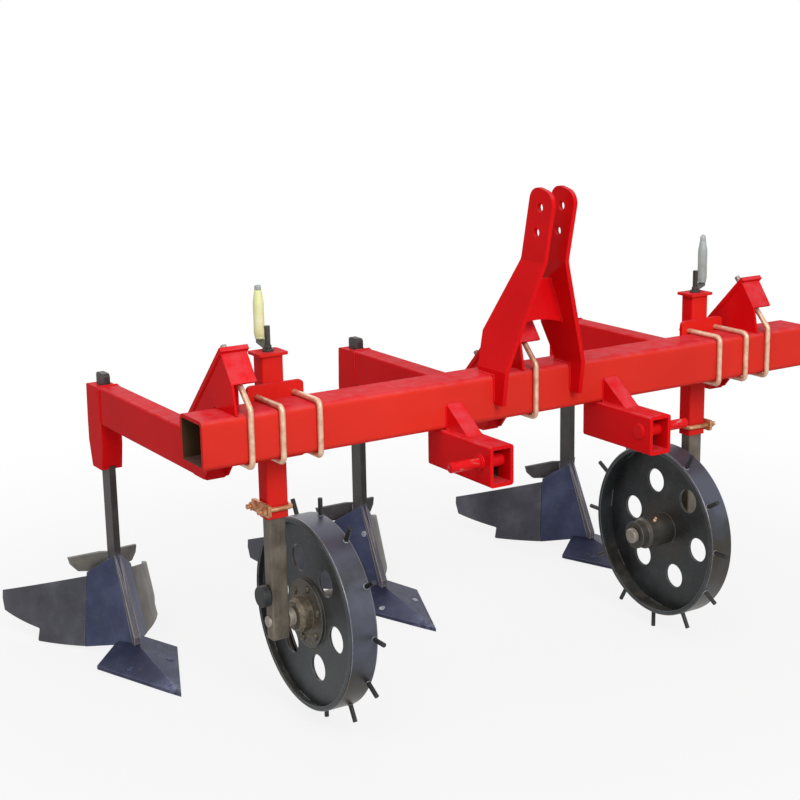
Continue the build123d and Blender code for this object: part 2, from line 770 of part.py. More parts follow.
post_out = wheel_post_x + post_wide / 2
post_in = wheel_post_x - post_wide / 2
axle = rod((hub_in_x - axle_tip, sleeve_y, axle_z), (post_out + axle_out, sleeve_y, axle_z), axle_radius)
shoulder_in = (hub_out_x + axle_room, sleeve_y, axle_z)
axle += rod(shoulder_in, (post_in, sleeve_y, axle_z), axle_radius + axle_shoulder)
collar_in = (hub_in_x - axle_room - axle_collar[1], sleeve_y, axle_z)
axle += rod(collar_in, (hub_in_x - axle_room, sleeve_y, axle_z), axle_radius + axle_collar[0])

stop_y = sleeve_y + stop_aside
stop_z = axle_z + stop_up
stop = rod((post_out, stop_y, stop_z), (post_out + stop_long, stop_y, stop_z), stop_radius)
stop = fillet(stop.edges().filter_by(GeomType.CIRCLE), stop_round)
stop += rod((post_out - post_wall, stop_y, stop_z), (post_out + stop_long / 2, stop_y, stop_z), stop_stem)
post -= rod((post_out - 2 * post_wall, stop_y, stop_z), (post_out + stop_long, stop_y, stop_z), stop_stem)

# Wheels: rolled rim with beads, pierced disc, hub barrel and a ring of spikes
rim_section = [
    (rim_inner_x, wheel_radius - rim_wall - rim_bead),
    (rim_inner_x + rim_wall, wheel_radius - rim_wall - rim_bead),
    (rim_inner_x + rim_wall, wheel_radius - rim_wall),
    (rim_inner_x + rim_wide - rim_wall, wheel_radius - rim_wall),
    (rim_inner_x + rim_wide - rim_wall, wheel_radius - rim_wall - rim_bead),
    (rim_inner_x + rim_wide, wheel_radius - rim_wall - rim_bead),
    (rim_inner_x + rim_wide, wheel_radius - rim_bevel),
    (rim_inner_x + rim_wide - rim_bevel, wheel_radius),
    (rim_inner_x + rim_bevel, wheel_radius),
    (rim_inner_x, wheel_radius - rim_bevel),
]
wheel_axis = Axis((0, sleeve_y, axle_z), (1, 0, 0))
rim_face = Plane(origin=(0, sleeve_y, axle_z), x_dir=(1, 0, 0), z_dir=(0, -1, 0)) * face_of(rim_section)
rim = revolve(rim_face, wheel_axis)

flange_x = disc_x + disc_plate / 2 + flange_plate
disc_section = [
    (hub_in_x, axle_radius + axle_fit),
    (hub_out_x, axle_radius + axle_fit),
    (hub_out_x, hub_radius - hub_nose[1]),
    (disc_x + hub_nose[0], hub_radius),
    (flange_x, hub_radius),
    (flange_x, hub_flange),
    (disc_x + disc_plate / 2, hub_flange),
    (disc_x + disc_plate / 2, wheel_radius - rim_wall),
    (disc_x - disc_plate / 2, wheel_radius - rim_wall),
    (disc_x - disc_plate / 2, hub_radius),
    (hub_in_x + hub_shoulder[0], hub_radius),
    (hub_in_x + hub_shoulder[1], hub_radius - hub_shoulder[2]),
    (hub_in_x, hub_radius - hub_shoulder[2]),
]
disc_face = Plane(origin=(0, sleeve_y, axle_z), x_dir=(1, 0, 0), z_dir=(0, -1, 0)) * face_of(disc_section)
disc = revolve(disc_face, wheel_axis)
for n in range(window_count):
    turn = math.radians(360 / window_count * n + window_turn)
    spot = (0, sleeve_y + window_circle * math.cos(turn), axle_z + window_circle * math.sin(turn))
    disc -= Pos(*spot) * Rot(0, 90, 0) * Cylinder(window_radius, 2 * beam_length)

spikes = []
spike_x = rim_inner_x + spike_in
spike_foot = wheel_radius - spike_root
spike_tip = wheel_radius + spike_long
for n in range(spike_count):
    turn = 2 * math.pi * n / spike_count - math.pi / 2
    ray = (math.cos(turn), math.sin(turn))
    foot = (spike_x, sleeve_y + ray[0] * spike_foot, axle_z + ray[1] * spike_foot)
    point = (spike_x, sleeve_y + ray[0] * spike_tip, axle_z + ray[1] * spike_tip)
    spike = rod(foot, point, spike_radius)
    spikes.append(spike - rim)

for side, name in ((-1, "left"), (1, "right")):
    save(f"wheel_post_{name}", flip(post, side))
    save(f"wheel_axle_{name}", flip(axle, side))
    save(f"post_stop_{name}", flip(stop, side))
    save(f"wheel_rim_{name}", flip(rim, side))
    save(f"wheel_disc_{name}", flip(disc, side))
    save(f"wheel_spikes_{name}", Compound([flip(s, side) for s in spikes]))

    # Jack: screw held under the sleeve's cap, turned by a cranked arm with a loose grip
    axis_x = side * wheel_post_x
    cap_top = sleeve_high + cap_plate
    arm_z = cap_top + collar_over
    screw = rod((axis_x, sleeve_y, screw_low), (axis_x, sleeve_y, sleeve_high - collar_room), screw_radius)
    screw += rod((axis_x, sleeve_y, screw_low), (axis_x, sleeve_y, cap_top + neck_high), neck_radius)
    screw += rod((axis_x, sleeve_y, sleeve_high - collar_room - collar_under),
                 (axis_x, sleeve_y, sleeve_high - collar_room), screw_collar)
    screw += rod((axis_x, sleeve_y, cap_top + collar_room), (axis_x, sleeve_y, arm_z), screw_collar)
    save(f"jack_screw_{name}", screw)
    bearing = math.radians(crank_turn[side])
    grip_x = axis_x + crank_throw * math.cos(bearing)
    grip_y = sleeve_y + crank_throw * math.sin(bearing)
    bar_mid = Pos((axis_x + grip_x) / 2, (sleeve_y + grip_y) / 2, arm_z)
    bar = SlotCenterToCenter(crank_throw, crank_wide)
    lever = bar_mid * Rot(0, 0, crank_turn[side]) * extrude(bar, crank_plate)
    lever -= Pos(axis_x, sleeve_y, arm_z) * Cylinder(neck_radius, 4 * crank_plate)
    grip_low = arm_z + crank_plate + grip_room
    knob_z = grip_low + grip_long + grip_room
    lever += rod((grip_x, grip_y, arm_z), (grip_x, grip_y, knob_z + knob_tall / 2), spindle_radius)
    knob = rod((grip_x, grip_y, knob_z), (grip_x, grip_y, knob_z + knob_tall), knob_radius)
    lever += fillet(knob.edges().filter_by(GeomType.CIRCLE).sort_by(Axis.Z)[-1], knob_radius / 2)
    save(f"crank_arm_{name}", lever)
    grip_bore = spindle_radius + spindle_fit
    grip_line = [
        (grip_bore, 0),
        (grip_radius - grip_waist, 0),
        (grip_radius, grip_long * 0.12),
        (grip_radius, grip_long * 0.75),
        (grip_radius - grip_waist, grip_long * 0.88),
        (grip_radius - grip_neck, grip_long),
        (grip_bore, grip_long),
    ]
    grip = Pos(grip_x, grip_y, grip_low) * revolve(Plane.XZ * face_of(grip_line), Axis.Z)
    save(f"crank_grip_{name}", grip)
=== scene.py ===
"""Looks of a three-row ridging machine for a small tractor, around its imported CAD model. Metres."""

import math
import random

import bpy
from mathutils import Matrix, Vector


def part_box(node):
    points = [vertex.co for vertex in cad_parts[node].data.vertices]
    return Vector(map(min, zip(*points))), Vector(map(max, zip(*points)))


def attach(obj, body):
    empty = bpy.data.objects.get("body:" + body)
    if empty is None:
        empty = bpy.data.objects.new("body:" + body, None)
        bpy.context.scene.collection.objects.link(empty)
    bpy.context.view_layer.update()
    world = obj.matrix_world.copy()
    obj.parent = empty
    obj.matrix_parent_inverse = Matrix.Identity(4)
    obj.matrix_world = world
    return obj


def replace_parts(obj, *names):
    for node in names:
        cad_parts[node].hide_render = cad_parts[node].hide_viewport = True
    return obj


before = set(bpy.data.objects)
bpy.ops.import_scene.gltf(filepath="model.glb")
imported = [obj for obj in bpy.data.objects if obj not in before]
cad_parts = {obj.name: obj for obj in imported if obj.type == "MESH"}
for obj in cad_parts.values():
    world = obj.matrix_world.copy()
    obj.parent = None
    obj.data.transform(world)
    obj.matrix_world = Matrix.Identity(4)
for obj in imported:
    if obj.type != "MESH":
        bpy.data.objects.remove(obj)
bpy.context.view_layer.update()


# Main beam: 100 mm square steel tube with thick walls, sawn square and left open at both ends.
# Everything else is welded or clamped to it, and all the frame is sprayed in one coat of red enamel.
# The front faces are painted a paler, warmer red: painted light standing in for the strong light on them.

def colour(tint):
    """The linear colour that shaders take, from an sRGB hex value or a plain level of grey."""
    if not isinstance(tint, str):
        return (tint, tint, tint, 1.0)
    channels = [int(tint[i:i + 2], 16) / 255 for i in (1, 3, 5)]
    linear = [c / 12.92 if c <= 0.04045 else ((c + 0.055) / 1.055) ** 2.4 for c in channels]
    return (*linear, 1.0)


def grain(size_mm):
    """Texture scale whose features are about this many millimetres across."""
    return 1000 / size_mm


def socket_of(sockets, key):
    """The socket in use that has a name, or the one with a number."""
    return sockets[key] if isinstance(key, int) else next(s for s in sockets if s.enabled and s.name == key)


def link(tree, node, sources):
    """Joins a node's inputs to sockets, or to the first output in use of other nodes."""
    for key, source in sources.items():
        if isinstance(source, bpy.types.Node):
            source = next(s for s in source.outputs if s.enabled)
        tree.links.new(source, socket_of(node.inputs, key))


def put(tree, kind, settings=None, links=None):
    """Adds one shader node, sets its properties, colour stops and socket values, and joins its inputs."""
    added = tree.nodes.new("ShaderNode" + kind)
    for key, value in (settings or {}).items():
        if key == "stops":
            ramp = added.color_ramp.elements
            while len(ramp) < len(value):
                ramp.new(0.5)
            for stop, (place, tint) in zip(ramp, value):
                stop.position, stop.color = place, colour(tint)
        elif isinstance(key, str) and hasattr(added, key):
            setattr(added, key, value)
        else:
            socket_of(added.inputs, key).default_value = colour(value) if isinstance(value, str) else value
    link(tree, added, links or {})
    return added


def bare_tree(owner):
    """Emptied shader tree of a material or a world."""
    owner.use_nodes = True
    owner.node_tree.nodes.clear()
    return owner.node_tree


def start_material(name, settings):
    """New material: its tree, its shader with the constants set, and the place on the piece."""
    made = bpy.data.materials.new(name)
    tree = bare_tree(made)
    shader = put(tree, "BsdfPrincipled", settings)
    put(tree, "OutputMaterial", None, {"Surface": shader})
    return made, tree, shader, put(tree, "TexCoord").outputs["Object"]


def edge_wear(tree, width_mm, patch):
    """Mask of edges rubbed this wide, broken up by a patchy pattern, and the normal that rounds them."""
    rounded = put(tree, "Bevel", {"samples": 6, "Radius": width_mm / 1000})
    flat = put(tree, "NewGeometry").outputs["Normal"]
    meet = put(tree, "VectorMath", {"operation": "DOT_PRODUCT"}, {0: rounded, 1: flat})
    lean = put(tree, "Math", {"operation": "SUBTRACT", 0: 1.0}, {1: meet})
    spread = put(tree, "Math", {"operation": "MULTIPLY", 1: 7.0}, {0: lean})
    worn = put(tree, "Math", {"operation": "MULTIPLY", "use_clamp": True}, {0: spread, 1: patch})
    return worn, rounded


def dust_and_top_light(tree, place, least, most):
    """Mask of a dusting on tops and slopes that also serves as painted top light, thicker in some
    patches than in others.
    """
    film = put(tree, "TexNoise", {"Scale": grain(28), "Detail": 5.0, "Roughness": 0.6}, {"Vector": place})
    thin = put(tree, "ValToRGB", {"stops": [(0.35, least), (0.72, most)]}, {"Fac": film})
    rise = put(tree, "SeparateXYZ", None, {"Vector": place.node.outputs["Normal"]}).outputs["Z"]
    level = put(tree, "MapRange", {"From Min": 0.34, "From Max": 0.62}, {"Value": rise})
    return put(tree, "Math", {"operation": "MULTIPLY", "use_clamp": True}, {0: level, 1: thin})


def red_enamel(name, faded=0.0, hollow=None):
    """Red alkyd enamel sprayed on welded steel: a clean strong red with soft clear lights, a faint orange
    peel, a dusting on tops that also serves as painted top light, and edges rubbed dark. Faces to the
    front may be painted a paler, warmer red, as painted light. The spray stops short inside a hollow,
    which stays brown steel. The peel is coarser than real, to show."""
    made, tree, shader, place = start_material(
        name, {"IOR": 1.5, "Specular IOR Level": 0.0, "Coat Weight": 0.13, "Coat Roughness": 0.24})
    drift = put(tree, "TexNoise", {"Scale": grain(240), "Detail": 2.0}, {"Vector": place})
    coat = put(tree, "ValToRGB", {"stops": [(0.3, "#d00b12"), (0.7, "#e21317")]}, {"Fac": drift})
    # Faces turned to the front are painted a paler, warmer red, as painted light for the strong light on them.
    if faded:
        depth = put(tree, "SeparateXYZ", None, {"Vector": place.node.outputs["Normal"]}).outputs["Y"]
        front_light_share = put(tree, "MapRange", {"From Min": -0.3, "From Max": -0.9, "To Max": faded},
                     {"Value": depth})
        front_lit_red = put(tree, "ValToRGB", {"stops": [(0.3, "#d02e24"), (0.7, "#e03428")]}, {"Fac": drift})
        coat = put(tree, "Mix", {"data_type": "RGBA"}, {"Factor": front_light_share, "A": coat, "B": front_lit_red})
    if hollow:
        middle, half = hollow
        apart = put(tree, "VectorMath", {"operation": "ABSOLUTE"}, {0: place})
        apart = put(tree, "VectorMath", {"operation": "SUBTRACT", 1: middle}, {0: apart})
        apart = put(tree, "VectorMath", {"operation": "ABSOLUTE"}, {0: apart})
        past = put(tree, "VectorMath", {"operation": "SUBTRACT", 1: half}, {0: apart})
        axes = put(tree, "SeparateXYZ", None, {"Vector": past}).outputs
        most = put(tree, "Math", {"operation": "MAXIMUM"}, {0: axes["X"], 1: axes["Y"]})
        most = put(tree, "Math", {"operation": "MAXIMUM"}, {0: most, 1: axes["Z"]})
        inside = put(tree, "Math", {"operation": "LESS_THAN", 1: 0.0}, {0: most})
        coat = put(tree, "Mix", {"data_type": "RGBA", "B": "#54402c"}, {"Factor": inside, "A": coat})
    # Faces turned up are lightened: partly a dusting, partly painted top light.
    top_dust_and_light = dust_and_top_light(tree, place, 0.04, 0.22)
    dusted_and_top_lit = put(tree, "Mix", {"data_type": "RGBA", "B": "#c88a96"}, {"Factor": top_dust_and_light, "A": coat})
    flaws = put(tree, "TexNoise", {"Scale": grain(14), "Detail": 5.0, "Roughness": 0.65}, {"Vector": place})
    patch = put(tree, "ValToRGB", {"stops": [(0.56, 0.0), (0.66, 1.0)]}, {"Fac": flaws})
    worn, rounded = edge_wear(tree, 1.8, patch)
    chipped = put(tree, "Mix", {"data_type": "RGBA", "B": "#6e2622"}, {"Factor": worn, "A": dusted_and_top_lit})
    gloss = put(tree, "ValToRGB", {"stops": [(0.3, 0.34), (0.8, 0.46)]}, {"Fac": drift})
    waves = put(tree, "TexNoise", {"Scale": grain(38), "Detail": 1.0}, {"Vector": place})
    waved = put(tree, "Bump", {"Strength": 0.3, "Distance": 0.0003}, {"Height": waves, "Normal": rounded})
    peel = put(tree, "TexNoise", {"Scale": grain(2.6), "Detail": 1.0}, {"Vector": place})
    peeled = put(tree, "Bump", {"Strength": 0.3, "Distance": 0.00006}, {"Height": peel, "Normal": waved})
    link(tree, shader, {"Base Color": chipped, "Roughness": gloss, "Normal": peeled})
    return made


def dress(made, *nodes):
    """Gives CAD nodes a material in every slot."""
    for name in nodes:
        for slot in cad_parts[name].material_slots:
            slot.material = made


enamel = red_enamel("red alkyd enamel")
beam_low, beam_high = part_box("main_beam")
front, rear, under, top = beam_low.y, beam_high.y, beam_low.z, beam_high.z
past_ends = 9.0
beam_hollow = (past_ends, 0.0425, 0.0425)
beam_middle = (0.0, -(front + rear) / 2, (under + top) / 2)
# The beam's front is painted a paler, warmer red as painted light; its hollow stays brown steel.
dress(red_enamel("red enamel on open tube with painted front light", 1.0, (beam_middle, beam_hollow)), "main_beam")


# Three-point mast: two plates bent inwards to a pair of drilled ears, hooked over the beam's front corner.
# An upright web joins them half way up; feet and web are held by fillet welds under the enamel.

dress(enamel, "mast_plate_left", "mast_plate_right", "mast_web")
sides = {"left": -1, "right": 1}
smooth_below = math.radians(38)


def add_piece(name, shapes, made, body):
    """One mesh piece from several shapes of points and faces, with its material, riding on a body if one is given."""
    points, faces = [], []
    for more, shells in shapes:
        faces += [tuple(i + len(points) for i in shell) for shell in shells]
        points += [tuple(p) for p in more]
    mesh = bpy.data.meshes.new(name)
    mesh.from_pydata(points, [], faces)
    mesh.update()
    for polygon in mesh.polygons:
        polygon.use_smooth = True
    mesh.set_sharp_from_angle(angle=smooth_below)
    mesh.materials.append(made)
    piece = bpy.data.objects.new(name, mesh)
    bpy.context.scene.collection.objects.link(piece)
    if body:
        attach(piece, body)
    return piece


def ring_faces(rings, count, closed):
    """Quads between rings of points; ends are capped, or the last ring joins the first."""
    faces = []
    for i in range(rings if closed else rings - 1):
        a, b = i * count, (i + 1) % rings * count
        for k in range(count):
            n = (k + 1) % count
            faces.append((a + k, a + n, b + n, b + k))
    if not closed:
        faces.append(tuple(range(count))[::-1])
        faces.append(tuple(range((rings - 1) * count, rings * count)))
    return faces


def turns(count):
    """Angles of evenly spaced points round a circle."""
    return [2 * math.pi * k / count for k in range(count)]


weld_pool = 0.0042
pool_swell = (1.0, 0.93, 0.78)
pool_spread = (0.94, 1.06)
weld_tail = 0.3
weld_corners = 8
weld_random = random.Random(7)


def weld_bead(corners, leg, closed=False):
    """One bead along straight runs between corners, swelling and pinching at each pool."""
    path, radii = [], []
    corners = [Vector(c) for c in corners]
    if closed:
        corners.append(corners[0])
    for start, end in zip(corners, corners[1:]):
        steps = len(pool_swell) * max(1, round((end - start).length / weld_pool))
        for n in range(steps):
            path.append(start.lerp(end, n / steps))
            radii.append(leg * pool_swell[n % len(pool_swell)] * weld_random.uniform(*pool_spread))
    if not closed:
        path.append(corners[-1])
        radii.append(leg * weld_tail)
        radii[0] = leg * weld_tail
    points = []
    side = None
    for i, here in enumerate(path):
        behind = path[i - 1] if closed or i else here
        ahead = (path[(i + 1) % len(path)] if closed or i < len(path) - 1 else here) - behind
        ahead.normalize()
        side = ahead.orthogonal() if side is None else side - ahead * side.dot(ahead)
        side.normalize()
        other = ahead.cross(side)
        for turn in turns(weld_corners):
            points.append(here + (side * math.cos(turn) + other * math.sin(turn)) * radii[i])
    return points, ring_faces(len(path), weld_corners, closed)


weld_leg = 0.0032
weld_stop = 0.004
mast_hook = 0.062
mast_plate = 0.010
mast_foot = 0.057
web_levels = (0.096, 0.197)
web_halves = (0.0693, 0.0368)
web_plate = 0.008
foot_seam = [(front, top - mast_hook + weld_stop), (front, top), (front + mast_foot, top)]
mast_welds = []
for side, sign in sides.items():
    low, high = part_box(f"mast_plate_{side}")
    outer = max(abs(low.x), abs(high.x))
    for x in (outer - mast_plate, outer):
        mast_welds.append(weld_bead([(sign * x, *point) for point in foot_seam], weld_leg))
    for y in (front - web_plate, front):
        seam = [(sign * half, y, top + level) for half, level in zip(web_halves, web_levels)]
        mast_welds.append(weld_bead(seam, weld_leg))
add_piece("mast_welds", mast_welds, enamel, "frame")


# Lower hitch: two box tubes welded under the beam, open towards the tractor, with a block gusset above each;
# the spray reaches two fingers' breadth into them. A turned pin passes through each box and is welded in, and
# its enamel is rubbed where the link's ball swings.

box_hollow = (0.0215, 0.277, 0.0355)
box_middle = (0.210, 0.290, under - 0.043)
box_enamel = red_enamel("red enamel on open box tube", hollow=(box_middle, box_hollow))
dress(box_enamel, "hitch_box_left", "hitch_box_right")
dress(enamel, "hitch_gussets")


def rubbed_enamel(rubbed_from, rubbed_to):
    """Enamel over a turned steel pin: the same red, worn outside the box to patches of bare grey steel, with
    lathe lines showing through. The lines are coarser than real, to show."""
    made, tree, shader, place = start_material(
        "rubbed enamel on turned steel", {"Roughness": 0.36, "IOR": 1.5, "Specular IOR Level": 0.0,
                                          "Coat Weight": 0.2, "Coat Roughness": 0.3})
    along = put(tree, "Mapping", {"Scale": (0.4, 1.0, 1.0)}, {"Vector": place})
    patches = put(tree, "TexNoise", {"Scale": grain(11), "Detail": 4.0, "Roughness": 0.6}, {"Vector": along})
    thin = put(tree, "ValToRGB", {"stops": [(0.58, 0.0), (0.68, 0.7)]}, {"Fac": patches})
    apart = put(tree, "VectorMath", {"operation": "ABSOLUTE"}, {0: place})
    reach = put(tree, "SeparateXYZ", None, {"Vector": apart}).outputs["X"]
    swung = put(tree, "MapRange", {"From Min": rubbed_from, "From Max": rubbed_to}, {"Value": reach})
    bare = put(tree, "Math", {"operation": "MULTIPLY"}, {0: thin, 1: swung})
    tone = put(tree, "Mix", {"data_type": "RGBA", "A": "#d8151a", "B": "#b09a92"}, {"Factor": bare})
    round_way = put(tree, "Mapping", {"Scale": (1.0, 0.05, 0.05)}, {"Vector": place})
    lines = put(tree, "TexNoise", {"Scale": grain(1.5), "Detail": 2.0}, {"Vector": round_way})
    lathed = put(tree, "Bump", {"Strength": 0.3, "Distance": 0.00005}, {"Height": lines})
    link(tree, shader, {"Base Color": tone, "Metallic": bare, "Normal": lathed})
    return made


box_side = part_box("hitch_box_right")[1].x
ball_edge = (box_side + 0.004, box_side + 0.012)
dress(rubbed_enamel(*ball_edge), "hitch_pins")


def middle_of(node):
    """Middle of a CAD node's box."""
    low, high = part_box(node)
    return (low + high) / 2


fine_leg = 0.0026
gusset_half = 0.019
gusset_low, gusset_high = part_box("hitch_gussets")
gusset_seam = [(gusset_low.y + weld_stop, under), (front, under), (front, gusset_high.z - 0.003)]
box_seam_front = front + 0.010
pin_root = 0.0155
pin_y, pin_z = front - 0.136, under - 0.038
pin_seam = [(pin_y + pin_root * math.cos(t), pin_z + pin_root * math.sin(t)) for t in turns(20)]
hitch_welds = []
for side in sides:
    low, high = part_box(f"hitch_box_{side}")
    middle = middle_of(f"hitch_box_{side}").x
    for x in (low.x, high.x):
        hitch_welds.append(weld_bead([(x, box_seam_front, under), (x, high.y - weld_stop, under)], weld_leg))
    for x in (middle - gusset_half, middle + gusset_half):
        hitch_welds.append(weld_bead([(x, *point) for point in gusset_seam], weld_leg))
    for x in (low.x, high.x):
        hitch_welds.append(weld_bead([(x, *point) for point in pin_seam], fine_leg, True))
add_piece("hitch_welds", hitch_welds, enamel, "frame")


# Carriers: a diagonal clamp seat of welded plate on the beam's top rear corner, with a box-tube arm behind.
# One bent V-bolt round the beam draws each seat down; it is rolled-thread rod with plated nuts and washers.

rows = ("left", "middle", "right")
row_x = {row: middle_of(f"shank_{row}").x for row in rows}
dress(enamel, *[f"carrier_{row}" for row in rows])

clamp_half = 0.028
arm_half = 0.0255
clamp_apex = (front + 0.056, top + 0.114)
clamp_shoulder = (front + 0.100, top + 0.070)
clamp_foot = (front + 0.246, top - 0.076)
clamp_heel = (front + 0.270, top - 0.120)
clamp_toe = (front + 0.206, top - 0.164)
arm_seam = (clamp_foot, clamp_heel, clamp_toe)
carrier_welds = []
for x in row_x.values():
    for sign, start in ((-1, clamp_apex), (1, clamp_shoulder)):
        cheek_seam = [(x + sign * clamp_half, *point) for point in (start, clamp_foot)]
        carrier_welds.append(weld_bead(cheek_seam, fine_leg))
        carrier_welds.append(weld_bead([(x + sign * arm_half, *point) for point in arm_seam], weld_leg))
add_piece("carrier_welds", carrier_welds, enamel, "frame")


def passivated_zinc(name, dark, mid, light):
    """Yellow-passivated zinc plate on rolled rod: pale straw metal with pink and cream blotches, satin
    bright, or greyed by oil and dirt on the threads. Its grit is coarser than real, to show."""
    made, tree, shader, place = start_material(name, {"Metallic": 0.45})
    blotch = put(tree, "TexNoise", {"Scale": grain(16), "Detail": 4.0, "Roughness": 0.6}, {"Vector": place})
    tone = put(tree, "ValToRGB", {"stops": [(0.3, dark), (0.5, mid), (0.72, light)]}, {"Fac": blotch})
    satin = put(tree, "ValToRGB", {"stops": [(0.2, 0.36), (0.8, 0.52)]}, {"Fac": blotch})
    grit = put(tree, "TexNoise", {"Scale": grain(1.2), "Detail": 2.0}, {"Vector": place})
    rough = put(tree, "Bump", {"Strength": 0.3, "Distance": 0.00005}, {"Height": grit})
    link(tree, shader, {"Base Color": tone, "Roughness": satin, "Normal": rough})
    return made


zinc = passivated_zinc("passivated zinc plate", "#c9987c", "#ddb799", "#e8cdb4")
thread_zinc = passivated_zinc("oiled zinc thread", "#6f6e68", "#8d8c85", "#b0afa7")
dress(zinc, "v_bolts")


def turned(seat, way, rings, count=48, hollow=False):
    """Turned shape standing on a seat along a direction: each ring is a radius and a height, or a list of
    either with one for each point."""
    way = Vector(way).normalized()
    side = way.orthogonal().normalized()
    other = way.cross(side)
    points = []
    for radius, height in rings:
        for k, turn in enumerate(turns(count)):
            out = radius[k] if isinstance(radius, list) else radius
            up = height[k] if isinstance(height, list) else height
            points.append(Vector(seat) + (side * math.cos(turn) + other * math.sin(turn)) * out + way * up)
    return points, ring_faces(len(rings), count, hollow)


def hex_nut(seat, way, flats, tall, bore):
    """Hexagon nut with both end faces turned back to a circle, which leaves curved chamfers."""
    count, corner, chamfer, lead = 48, math.pi / 3, math.radians(30), 0.0007
    hexagon = [flats / 2 / math.cos((t + corner / 2) % corner - corner / 2) for t in turns(count)]
    face = flats * 0.475
    fall = [(r - face) * math.tan(chamfer) for r in hexagon]
    rings = [(bore, lead), (bore + lead, 0.0), (face, 0.0), (hexagon, fall),
             (hexagon, [tall - f for f in fall]), (face, tall), (bore + lead, tall), (bore, tall - lead)]
    return turned(seat, way, rings, count, True)


def washer(seat, way, radius, tall, bore):
    """Flat washer with the rolled-over edge that punching leaves."""
    soft = tall * 0.25
    rings = [(bore, 0.0), (radius - soft, 0.0), (radius, soft),
             (radius, tall - soft), (radius - soft, tall), (bore, tall)]
    return turned(seat, way, rings, 40, True)


def solids_of(node):
    """Points of each separate solid of a CAD node, found by its loose parts."""
    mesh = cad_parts[node].data
    parent = list(range(len(mesh.vertices)))

    def root(i):
        while parent[i] != i:
            parent[i] = parent[parent[i]]
            i = parent[i]
        return i

    places = {}
    for vertex in mesh.vertices:
        key = tuple(round(c, 6) for c in vertex.co)
        if key in places:
            parent[root(vertex.index)] = root(places[key])
        else:
            places[key] = vertex.index
    for edge in mesh.edges:
        a, b = edge.vertices
        parent[root(a)] = root(b)
    groups = {}
    for vertex in mesh.vertices:
        groups.setdefault(root(vertex.index), []).append(vertex.co.copy())
    return sorted(groups.values(), key=lambda group: tuple(sum(group, Vector()) / len(group)))


def end_of(points, way):
    """Middle of a solid's flat end in a direction."""
    way, flat = Vector(way).normalized(), 0.0004
    reach = max(p.dot(way) for p in points)
    tip = [p for p in points if p.dot(way) > reach - flat]
    return sum(tip, Vector()) / len(tip)


def rolled_thread(tip, way, length, radius, pitch):
    """Rolled thread over the last stretch of a rod: a sleeve whose radius follows one helix up to the tip."""
    steps, count = 5, 18
    clear, rise = 0.00005, 0.0005
    point_fall, point_reach = 0.0008, 0.0006
    turns_up = max(3, int(length / pitch * steps))
    rings = []
    for i in range(turns_up + 1):
        along = length * i / turns_up
        ridges = [1 - abs(2 * ((along / pitch - k / count) % 1.0) - 1) for k in range(count)]
        rings.append(([radius + clear + rise * r for r in ridges], along))
    rings.append((radius - point_fall, length + point_reach))
    way = Vector(way).normalized()
    return turned(tip - way * length, way, rings, count)


bolt_radius = 0.006
bolt_pitch = 0.00175
nut_flats = 0.019
nut_tall = 0.010
washer_radius = 0.013
washer_tall = 0.0025
thread_on_v = 0.026
rising = Vector((0, 1, 1)).normalized()
falling = Vector((0, 1, -1)).normalized()

v_threads = []
for solid in solids_of("v_bolts"):
    middle = sum(solid, Vector()) / len(solid)
    for half in (1, -1):
        leg = [p for p in solid if (p - middle).dot(falling) * half < 0]
        v_threads.append(rolled_thread(end_of(leg, rising), rising, thread_on_v, bolt_radius, bolt_pitch))
add_piece("v_bolt_threads", v_threads, thread_zinc, "frame")

clamp_nuts = []
for solid in solids_of("v_bolt_nuts"):
    seat = end_of(solid, -rising)
    clamp_nuts.append(washer(seat, rising, washer_radius, washer_tall, bolt_radius))
    clamp_nuts.append(hex_nut(seat + rising * washer_tall, rising, nut_flats, nut_tall, bolt_radius))
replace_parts(add_piece("clamp_nuts", clamp_nuts, zinc, "frame"), "v_bolt_nuts")


# Shank holders: deep sockets of welded plate at the arm ends, drawn in below, that grip the shanks.
# Two plated set bolts with hexagon heads bear on each shank from behind.

dress(enamel, *[f"holder_{row}" for row in rows])
dress(zinc, "holder_bolts")

floor_z, roof_z = top - 0.168, top - 0.076
arm_corner = 0.006
holder_welds = []
for row in rows:
    low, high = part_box(f"holder_{row}")
    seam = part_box(f"carrier_{row}")[1].y
    outline = [(low.x, floor_z + arm_corner), (low.x, roof_z - arm_corner), (low.x + arm_corner, roof_z),
               (high.x - arm_corner, roof_z), (high.x, roof_z - arm_corner), (high.x, floor_z + arm_corner)]
    holder_welds.append(weld_bead([(x, seam, z) for x, z in outline], weld_leg))
add_piece("holder_welds", holder_welds, enamel, "frame")
